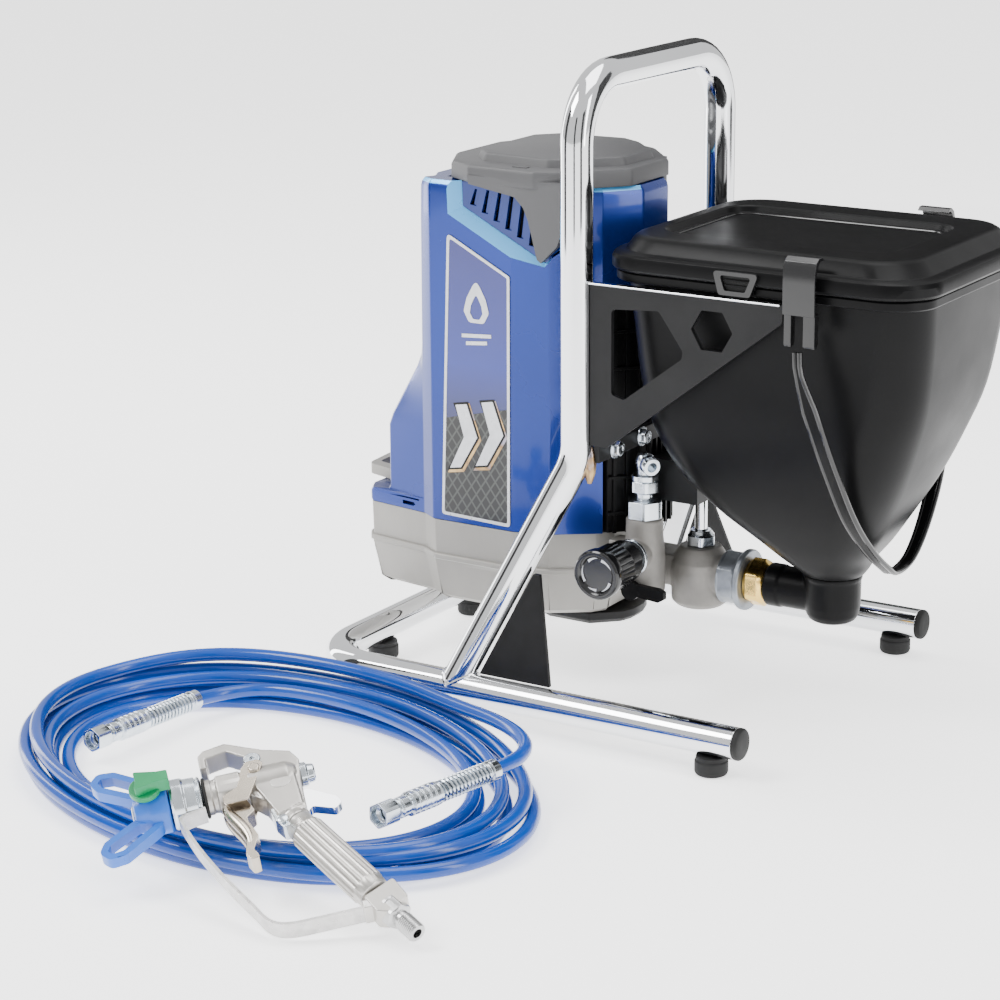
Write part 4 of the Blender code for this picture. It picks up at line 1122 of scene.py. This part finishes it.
def outlet():
    x, y = OUTLET
    column = [(0, 13), (2, 16), (5, 17), (34, 17), (50, 15.2), (64, 15), (65, 14)]
    made = turned("outlet_manifold_finished", (x, y, 87), (0, 0, 1), column, "cast_pump")
    boss = turned("boss", (x, y, KNOB_Z), (0, -1, 0), [(0, 13), (20, 13), (24, 11)], "cast_pump",
                  body=None)
    arm = block("arm", (13, y - 10, 106), (x, y + 8, 131), "cast_pump", body=None)
    melted(cut(made, "UNION", [boss, arm]), 0.8, 4)
    profile = [(0, 27, "hex"), (14, 27, "hex"), (15.2, 12), (15.2, 7), (20, 7), (20, 9),
               (21.5, 10), (21.5, 21, "hex"), (30, 21, "hex"), (31, 10), (31, 11), (35, 11),
               (35, 4), (0, 4)]
    turned("outlet_fitting_finished", (x, y, 152.3), (0, 0, 1), profile, "zinc", loop=True,
           bevel=0.4)
    foot = (x, y, 187.6)
    post = [(0, 6.5), (4, 6.5), (7, 7.2), (12, 7.4), (15.5, 6.4), (17.6, 3.6), (18, 1)]
    swivel = turned("outlet_swivel_finished", foot, (0, 0, 1), post, "zinc", body="outlet_swivel")
    away = Vector((0.82, -0.56, -0.12)).normalized()
    start = Vector((x, y, 197.5))
    nozzle = [(-5, 6.2), (4, 6.4), (5, 7.4), (12.4, 7.4), (13, 6.9), (13, 4.2), (0, 4.2), (-4, 2)]
    tip = turned("nozzle", start, away, nozzle, "zinc", body=None)
    bore = turned("bore", start + away * 1, away, [(0, 4.2), (20, 4.2)], "zinc", body=None)
    cut(swivel, "UNION", [tip])
    cut(swivel, "DIFFERENCE", [bore])
    swivel.data.set_sharp_from_angle(angle=math.radians(40))


def knob():
    x, y = OUTLET
    front = (x, -119, KNOB_Z)
    grips = lambda angle: -abs(math.cos(angle * 9)) ** 6
    profile = [(3.4, 6), (3.4, 13.4), (0.8, 15.2), (0, 16.4), (0, 18.5), (1.2, 20), (3, 20.5),
               (8, 20.5), (9.4, 20), (10.4, 19), (12, 18.8, 0.8), (30, 18.8, 0.8), (31.5, 18.4),
               (32, 17.2), (46, 17.2), (46.6, 16), (47.5, 12.5), (54.5, 12)]
    turned("pressure_knob_finished", front, (0, 1, 0), profile, "glossy_moulding", 90,
           flutes=grips, body="pressure_knob", bevel=0.4)
    for k, (low, high) in enumerate(((20, 72), (84, 128), (150, 212), (232, 268), (284, 336))):
        arc = []
        for step in range(13):
            angle = math.radians(low + (high - low) * step / 12)
            arc.append((x + 14.6 * math.cos(angle), KNOB_Z + 14.6 * math.sin(angle)))
        for step in range(12, -1, -1):
            angle = math.radians(low + (high - low) * step / 12)
            width = 2.6 * (step / 12) ** 0.7 + 0.4
            radius = 14.6 - width
            arc.append((x + radius * math.cos(angle), KNOB_Z + radius * math.sin(angle)))
        plate("knob_scale_%d" % k, arc, 0.4, lambda u, v, w: Vector((u, -115.9 - w, v)),
              "label_silver", body="pressure_knob")
    turned("knob_collar", (x, -64.2, KNOB_Z), (0, 1, 0), [(0, 14.6), (2, 15.2), (3.6, 14.6)],
           "zinc", bevel=0.4)
    refined("prime_lever", "black_moulding", "prime_lever", bevel=1.2, steps=3)


def pump():
    x, y = PUMP
    body = [(0, 17), (1.5, 20), (5, 23.4), (30, 24.3), (38, 23.6), (46, 19.5), (50.5, 16.5)]
    made = turned("pump_cylinder_finished", (x, y, 72.5), (0, 0, 1), body, "cast_pump")
    boss = turned("boss", (x, y, INLET_Z), (1, 0, 0), [(0, 17), (23, 17), (24, 14), (45, 14)],
                  "cast_pump", body=None)
    foot = block("foot", (13, -15, 89), (x, 15, 115), "cast_pump", body=None)
    melted(cut(made, "UNION", [boss, foot]), 0.9, 5)
    bore = turned("bore", (x, y, 77), (0, 0, 1), [(0, 5.6), (70, 5.6)], "cast_pump", body=None)
    cut(made, "DIFFERENCE", [bore])
    profile = [(0, 22, "hex"), (8, 22, "hex"), (9.5, 10), (12.5, 8.6), (12.5, 5.5), (0, 5.5)]
    turned("packing_nut_finished", (x, y, 123.4), (0, 0, 1), profile, "zinc", loop=True, bevel=0.4)
    turned("piston_rod_finished", (x, y, 87), (0, 0, 1), [(0, 4), (1, 5), (85, 5), (86, 4)],
           "chrome", 40, body="piston_rod")
    start = (x + 24.6, y, INLET_Z)
    nut = [(0, 22), (1.2, 40, "hex"), (13.5, 40, "hex"), (15, 21), (16, 24), (17, 25), (20.5, 25),
           (21.5, 24), (21.5, 14.6), (0, 14.6)]
    turned("union_nut_finished", start, (1, 0, 0), nut, "dull_zinc", loop=True, body="union_nut",
           bevel=0.6)
    start = (x + 46.6, y, INLET_Z)
    adapter = [(0, 17), (1.5, 17.2), (3, 36, "hex"), (13, 36, "hex"), (14.5, 17.4), (17, 15),
               (17, 9), (0, 9)]
    turned("brass_adapter_finished", start, (1, 0, 0), adapter, "brass", loop=True, bevel=0.5)


# ---------------------------------------------------------------- hopper

HOPPER_X = 190.0
RIM_Z = 358.0
LID_Z = 366.5
LATCH_Y = 122.0
NECK_R = 14.0
WALL = 3.0
LEVEL_STEPS = 4
# the bowl's outside at each level: height, both ends in X, half its width in Y, corner radius
BOWL = ((118.4, 166, 214, 24, 24), (124, 160, 218, 30, 28), (133, 149, 222, 37, 30),
        (148, 131, 233, 47, 34), (172, 100, 247, 60, 38), (202, 73, 263, 73, 40),
        (236, 56, 277, 83, 40), (272, 50, 289, 90, 38), (319, 47, 296, 95, 36),
        (RIM_Z, 45, 299, 99, 34))


def bowl_levels():
    """The bowl's levels with smooth ones in between."""
    levels = []
    for i in range(len(BOWL) - 1):
        before = BOWL[max(i - 1, 0)]
        a, b = BOWL[i], BOWL[i + 1]
        after = BOWL[min(i + 2, len(BOWL) - 1)]
        for k in range(LEVEL_STEPS):
            t = k / LEVEL_STEPS
            levels.append([between(*row, t) for row in zip(before, a, b, after)])
    levels.append(BOWL[-1])
    return levels


def hopper():
    rings = []
    for z, x0, x1, half, radius in bowl_levels():
        rings.append(rectangle(x0, x1, half, radius, z))
    rim = [(41, 303, 109, 34, RIM_Z + 0.2), (40, 304, 111, 35, RIM_Z + 1.4),
           (40, 304, 111, 35, LID_Z - 1.4), (41, 303, 110, 34, LID_Z - 0.5),
           (48, 296, 96, 31, LID_Z - 0.5)]
    rings += [rectangle(*row) for row in rim]
    for z, x0, x1, half, radius in reversed(bowl_levels()[6:]):
        rings.append(rectangle(x0 + WALL, x1 - WALL, half - WALL, radius - WALL, z))
    for z in (121, 118.4):
        rings.append(rectangle(HOPPER_X - NECK_R, HOPPER_X + NECK_R, NECK_R, NECK_R, z))
    loft("hopper_finished", rings, "black_moulding", loop=True, bevel=0.4)
    cup = [(78.6, 12), (79, 15), (81, 18.6), (85, 21), (92, 22.2), (100, 22.5), (114, 22.5),
           (115, 23.4), (118, 23.4)]
    elbow = turned("hopper_elbow_finished", (HOPPER_X, 0, 0), (0, 0, 1), cup, "black_moulding")
    x0 = PUMP[0] + 64
    pipe = [(0, 17), (1, 17.5), (12, 17.5), (13, 16.6), (HOPPER_X - x0, 16.6)]
    branch = turned("branch", (x0, 0, INLET_Z), (1, 0, 0), pipe, "black_moulding", body=None)
    melted(cut(elbow, "UNION", [branch]), 0.9, 4)
    strainer = [(0, 17), (0.6, 20), (6, 20), (6, 17.6), (1.5, 17)]
    turned("strainer_finished", (HOPPER_X - 3, 0, 126), (0, 0, 1), strainer, "steel", bevel=0.2)


def lid():
    rows = [(80, 244, 52, 8, 386.0), (70, 254, 62, 16, 386.2), (67, 257, 65, 19, 387.2),
            (65, 259, 67, 21, 391.2), (63.5, 260.5, 68.5, 22.5, 392.2), (58, 282, 94, 32, 392.4),
            (53, 286, 99, 34, 391.8), (50, 289, 102, 36, 389.8), (45, 297, 107, 38, 381.6),
            (43.6, 299, 108.4, 38.4, 380.8), (40, 303.6, 112, 39, 380.2),
            (37.4, 306.6, 114, 40, 378.6), (36, 308, 115, 40, 375.6), (36, 308, 115, 40, 369.4),
            (37, 307, 114, 39, 367.6), (39, 305, 112, 38, LID_Z), (52, 292, 100, 32, LID_Z),
            (58, 286, 94, 30, 379)]
    rings = [rectangle(*row) for row in rows]
    loft("lid_finished", rings, "black_moulding", body="lid", bevel=0.3)
    ridge = rectangle(72, 252, 60, 14, 386.6)
    line = ridge + ridge[:1]
    rod("lid_ridge", line, 0.9, "glossy_moulding", 6, body="lid")
    for name, side in SIDES:
        catch(name, side)


def catch(name, side):
    """Finger catch moulded on the lid's rim, in the middle of each long side."""
    outer = filleted([(141, 377.5), (179, 377.5), (172, 359.5), (146, 359.5)], 3)
    inner = filleted([(147, 374.5), (173, 374.5), (168, 363), (151, 363)], 2)
    plate("lid_catch_" + name, outer, 5, xz(side * 113.5, side), "glossy_moulding", [inner],
          body="lid", bevel=0.7)
    # a near-black plate behind the catch's opening: painted shade in the gap behind it
    plate("lid_catch_back_" + name, inner, 2, xz(side * 113.2, side), "shade_and_print_black", body="lid")
    for k in range(2):
        low = 366 + 4 * k
        plate("lid_catch_rib_%s_%d" % (name, k),
              [(150, low), (171, low), (171, low + 1.4), (150, low + 1.4)], 2,
              xz(side * 115.2, side), "black_moulding", body="lid", bevel=0.3)


def latches():
    """Clips over the rim: a curved strap with two prongs that hold the bail."""
    for name, side in SIDES:
        def place(x, side=side):
            return lambda u, v, w: Vector((x + w, side * (LATCH_Y + u), v))

        strap = [(-11, 392.6), (-8, 395), (-3, 395), (1.5, 392), (4, 386), (4.6, 376), (4, 352),
                 (1.6, 352), (1.8, 376), (0.6, 385), (-2, 390), (-5, 392.4), (-8, 392.4),
                 (-11, 391.8)]
        plate("latch_%s_finished" % name, strap, 26, place(203), "glossy_moulding", bevel=0.9)
        for k, (x, width) in enumerate(((204, 6), (219.5, 9.5))):
            prong = [(-4, 354), (3.4, 354), (3.4, 329), (1.5, 327.6), (-2.4, 328.5), (-4, 332)]
            plate("latch_prong_%s_%d" % (name, k), prong, width, place(x),
                  "glossy_moulding", bevel=0.8)


BAIL_HALF = 1.7


def squared(value):
    """Draws a circle's cosine or sine out towards a square's, keeping its sign."""
    return math.copysign(abs(value) ** 0.6, value)


def bail():
    """Flat bail with a rib along each edge."""
    near = [(214, -122, 324), (216, -122, 306), (228, -117, 266), (234, -102, 230),
            (240, -80, 189), (244, -52, 158), (246, -26, 138), (245, -10, 130)]
    far = [(px, -py, pz) for px, py, pz in reversed(near)]
    path = smooth(near + far, 7.0)
    rings = []
    edges = ([], [])
    for i, point in enumerate(path):
        along = (path[min(i + 1, len(path) - 1)] - path[max(i - 1, 0)]).normalized()
        side = Vector((1, 0, 0))
        side = (side - along * side.dot(along)).normalized()
        other = along.cross(side)
        widening = min(1.0, max(0.0, (306 - point.z) / 26.0))
        narrowing = max(0.0, (190 - point.z) / 60.0)
        width = 3.2 + 2.9 * widening - 1.4 * narrowing
        ring = []
        for k in range(16):
            angle = 2 * math.pi * k / 16
            u = width * squared(math.cos(angle))
            v = BAIL_HALF * squared(math.sin(angle))
            ring.append(point + u * side + v * other)
        rings.append(ring)
        edges[0].append(point + side * (width - 1.2))
        edges[1].append(point - side * (width - 1.2))
    loft("bail_finished", rings, "black_moulding", body="bail")
    for k in range(2):
        rod("bail_rib_%d" % k, edges[k], 2.1, "glossy_moulding", 10, body="bail")


# ---------------------------------------------------------------- spray gun

GUN_ORIGIN = Vector((-7.2, -485.4, 63.0))
GUN_FORWARD = Vector((-0.74225, -0.64895, -0.16714))
GUN_DOWN = Vector((0.65431, -0.64796, -0.38991))
GUN_UP = GUN_FORWARD.cross(GUN_DOWN).normalized()
GRIP_TOP = (-14.0, 43.5)
GRIP_END = (-53.0, 122.0)
TIP_U = 84.0


def gun(u, v, w=0.0):
    """A point of the gun: u along the barrel to the tip, v towards the grip, w out of its side."""
    return GUN_ORIGIN + u * GUN_FORWARD + v * GUN_DOWN + w * GUN_UP


def gun_plate(name, outline, low, high, finish, holes=(), body="spray_gun", **rest):
    place = lambda u, v, w: gun(u, v, low + w)
    return plate(name, outline, high - low, place, finish, holes, body=body, **rest)


def gun_casting():
    """Body with its hook, melted into the collar of the grip."""
    top = [(-24, -10), (-19, -20), (0, -27), (25, -41), (41, -38), (45, -34), (45, -21), (40, -21),
           (40, -30), (25, -33), (6, -18), (14, -15), (14, 13), (2, 26), (-2, 44), (-22, 36),
           (-22, 12)]
    made = gun_plate("gun_body_finished", top, -8.5, 8.5, "gun_alloy")
    hub = turned("hub", gun(-20, 0), GUN_FORWARD, [(0, 10), (6, 13), (34, 13)], "gun_alloy",
                 body=None)
    chin = gun_plate("chin", [(10, 8), (-2, 40), (-20, 33), (-18, -6)], -10.5, 10.5, "gun_alloy",
                     body=None)
    start = gun(*GRIP_TOP)
    axis = gun(*GRIP_END) - start
    collar = turned("collar", start - axis.normalized() * 12, axis, [(0, 9), (11.6, 10.8)],
                    "gun_alloy", body=None)
    melted(cut(made, "UNION", [hub, chin, collar]), 0.7, 4)
    tail = [(-22, 38), (-26, 33), (-41, 40), (-46.5, 35), (-44, 28.5), (-22, 13)]
    gun_plate("gun_tail", filleted(tail, 3), -3.6, 3.6, "chrome", slot="cast_alloy", bevel=2.0,
              steps=4)
    turned("gun_rear_cap", gun(-23, -2), -GUN_FORWARD,
           [(0, 8.6), (4, 8.6), (5, 7), (9, 6.4), (10, 5)], "zinc", sides=32, body="spray_gun",
           bevel=0.4)
    oval = []
    for k in range(32):
        angle = 2 * math.pi * k / 32
        oval.append((-8 + 7.5 * math.cos(angle), 10 + 5.2 * math.sin(angle)))
    gun_plate("gun_badge", oval, 10.2, 11.0, "gun_alloy", bevel=0.4)
    screw = [(0, 6.2), (2.6, 6.2), (3.4, 5.4), (3.4, 3.4, "hex"), (2.0, 3.4, "hex"), (2.0, 0.6)]
    turned("trigger_screw", gun(8, -17, 8.4), GUN_UP, screw, "zinc", sides=32, body="spray_gun",
           bevel=0.3)
    turned("trigger_pin", gun(8, -6, 8.6), GUN_UP, [(0, 4.2), (5.4, 4.2), (6, 3.4)], "nickel",
           sides=24, body="spray_gun", slot="steel", bevel=0.3)
    lock = filleted([(-3, 28), (3, 31), (1, 42), (-4, 51), (-9, 49), (-6, 36)], 2)
    gun_plate("trigger_lock", lock, -6, 7.5, "zinc", bevel=0.8)
    turned("lock_screw", gun(-4, 43, 7.2), GUN_UP, [(0, 4), (1.8, 4), (2.2, 3.2)], "zinc",
           sides=24, body="spray_gun", bevel=0.3)


def gun_barrel():
    start = gun(14.4, 0)
    profile = [(0, 12.6), (4, 12.6), (5, 26, "hex"), (21, 26, "hex"), (22.4, 12), (25, 11.6),
               (26, 12.4), (30.4, 12.4), (31, 11), (31, 4), (0, 4)]
    turned("gun_front_finished", start, GUN_FORWARD, profile, "gun_alloy", loop=True,
           body="spray_gun", bevel=0.5)
    start = gun(46.2, 0)
    profile = [(0, 12.6), (0.6, 15), (1.4, 16.2), (2.4, 16.2), (2.8, 15.2), (3.8, 15.2),
               (4.2, 16.4), (12, 16.8), (13.6, 17.9), (20.6, 18.1), (22.4, 17), (23, 15),
               (23, 12.6)]
    turned("guard_nut_finished", start, GUN_FORWARD, profile, "zinc", 60, loop=True,
           body="guard_nut", bevel=0.35)
    turned("nut_seal", gun(43.5, 0), GUN_FORWARD,
           [(0, 13.4), (0.6, 14.4), (1.8, 14.4), (2.4, 13.4)], "rubber", sides=40,
           body="spray_gun")


def gun_handle():
    start = gun(*GRIP_TOP)
    axis = gun(*GRIP_END) - start
    length = axis.length
    flutes = lambda angle: -abs(math.sin(angle * 11)) ** 0.7
    profile = [(0, 8), (0.4, 10.4), (9, 11), (10, 12), (11, 12.2), (12, 12.6, 0.9),
               (length - 8, 12.9, 0.9), (length - 7, 12.3), (length, 11.6), (length + 1, 10.5)]
    made = turned("gun_grip_finished", start, axis, profile, "gun_alloy", 132, flutes=flutes,
                  body="spray_gun")
    made.data.set_sharp_from_angle(angle=math.radians(50))
    along = axis.normalized()
    foot = [(-67, 118), (-45, 129), (-51, 144), (-58, 147), (-74, 137)]
    gun_plate("grip_foot", filleted(foot, 2.5), -8.6, 8.6, "gun_alloy", bevel=1.0, steps=3)
    slit = filleted([(-43, 139), (-43, 132), (-50, 132), (-50, 139)], 1)
    gun_plate("grip_lug", slit, -8, 8, "gun_alloy", bevel=0.8)
    start = gun(*GRIP_END)
    profile = [(14.4, 8), (14.8, 9.6), (17, 9.6), (17.4, 18, "hex"), (27, 18, "hex"), (28, 8),
               (28.6, 6), (32, 6)]
    for k in range(9):
        profile += [(32.6 + 1.6 * k, 7), (33.4 + 1.6 * k, 6.2)]
    profile += [(46.4, 6.6), (47, 6), (47, 3.5), (14.4, 3.5)]
    turned("gun_inlet_finished", start, along, profile, "steel", sides=40, loop=True,
           body="gun_inlet", bevel=0.2)


def bowed_strip(name, centre, half, width, finish, **rest):
    """A strip of that thickness and width bent along a line in the gun's own plane."""
    line = [Vector(p) for p in centre]
    one = []
    other = []
    for i, point in enumerate(line):
        run = (line[min(i + 1, len(line) - 1)] - line[max(i - 1, 0)]).normalized()
        normal = Vector((-run.y, run.x)) * half
        one.append(tuple(point + normal))
        other.append(tuple(point - normal))
    return gun_plate(name, one + other[::-1], -width, width, finish, **rest)


def flat_curve(points, spacing=3.0):
    """A smooth line through points in the gun's own plane."""
    return [(p.x, p.y) for p in smooth([(u, v, 0) for u, v in points], spacing)]


def guard_strip():
    line = flat_curve([(46, 15.4), (56, 17), (63.5, 19.5), (63.6, 23), (56, 49), (43, 81),
                       (27, 114)])
    line += flat_curve([(26.5, 115), (21, 126.5), (14, 133.5), (3, 136.6), (-14, 137), (-43, 137)])
    bowed_strip("trigger_guard_finished", line, 1.1, 7.0, "brushed", bevel=0.4)


def gun_lever():
    """Trigger: a channel with two ears on the body and a curled end."""
    face = [(17, 17), (33, 17.5), (34, 22), (22, 50), (25, 66), (22, 73), (16, 72), (17, 68),
            (19, 64), (14, 52), (20, 34), (13, 28)]
    gun_plate("gun_trigger_finished", filleted(face, 2.2, 3), -7.4, 7.4, "nickel",
              body="gun_trigger", bevel=1.6, steps=4)
    for k, w in enumerate((-4.0, 4.2)):
        ridge = flat_curve([(32, 18), (29.6, 27), (22.4, 43), (20.4, 54), (22.6, 66)])
        line = [gun(u, v, w) for u, v in ridge]
        radii = [2.6 + 2.2 * math.sin(math.pi * min(1, 0.12 + i / len(line))) for i
                 in range(len(line))]
        loft("trigger_ridge_%d" % k, swept(line, radii, 18), "nickel", body="gun_trigger")
    ear = filleted([(1, -10), (4, -14), (13, -14), (17, -8), (22, 8), (33, 14), (33, 22),
                    (16, 22)], 2, 3)
    for name, low in (("near", 11.2), ("far", -12.8)):
        gun_plate("trigger_ear_" + name, ear, low, low + 1.6, "nickel", body="gun_trigger",
                  bevel=0.5)


def gun_tip():
    for name, side in SIDES:
        outer = [(76, side * 12), (94, side * 9.5), (118, side * 25), (122.5, side * 34),
                 (116, side * 42), (104, side * 40.5), (76, side * 20)]
        window = inset(outer, 5.0)
        gun_plate("guard_wing_" + name, filleted(outer, 6, 5), -4.6, 4.6, "guard_moulding",
                  [filleted(window, 3, 4)], body="tip_guard", bevel=1.8, steps=4)
    profile = [(0, 14), (0.4, 17.2), (1.4, 18), (13, 18), (15, 17), (24, 13.6), (25, 12), (25, 5),
               (0, 5)]
    made = turned("tip_guard_finished", gun(69.6, 0), GUN_FORWARD, profile, "guard_moulding",
                  loop=True, body="tip_guard")
    bore = turned("bore", gun(TIP_U, 0, -30), GUN_UP, [(0, 6.4), (60, 6.4)], "shade_and_print_black",
                  body=None)
    cut(made, "DIFFERENCE", [bore])
    made.data.set_sharp_from_angle(angle=math.radians(35))
    turned("tip_seat", gun(93.4, 0), GUN_FORWARD, [(0, 6), (2.4, 6), (3, 5), (3, 2), (1.2, 1.2)],
           "label_silver", sides=32, body="tip_guard", slot="steel")
    post = [(-19, 4.6), (-18, 6), (18.4, 6), (18.8, 10), (20, 11), (23.4, 11), (24, 10.4)]
    turned("spray_tip_finished", gun(TIP_U, 0), GUN_UP, post, "green_moulding", sides=40,
           body="spray_tip", bevel=0.4)
    flag = [(TIP_U - 17.5, -4.6), (TIP_U - 10, -5), (TIP_U + 6, -9), (TIP_U + 5, 0),
            (TIP_U + 7, 8), (TIP_U - 10, 4.4), (TIP_U - 17.5, 4.2)]
    gun_plate("tip_flag", filleted(flag, 1.5, 3), 20.6, 31.6, "green_moulding", body="spray_tip",
              bevel=1.0, steps=3)


# ---------------------------------------------------------------- whole object

def hidden_parts():
    """Pieces inside the casings keep their CAD shape."""
    for node in ("motor_case", "motor_rotor", "drive_gear", "crankshaft"):
        paint(node, "steel")
    paint("cooling_fan", "black_moulding")


def main():
    set_camera()
    set_studio()
    hose_ends()
    hose()
    for make in (tubes, weld_beads, leg_ends, feet, plates, shroud, top_cap, grille, label,
                 drive_housing, rear_casing, switch_side, outlet, knob, pump, hopper, lid, latches,
                 bail, gun_casting, gun_barrel, gun_handle, guard_strip, gun_lever, gun_tip,
                 hidden_parts):
        make()


main()
bpy.context.view_layer.update()
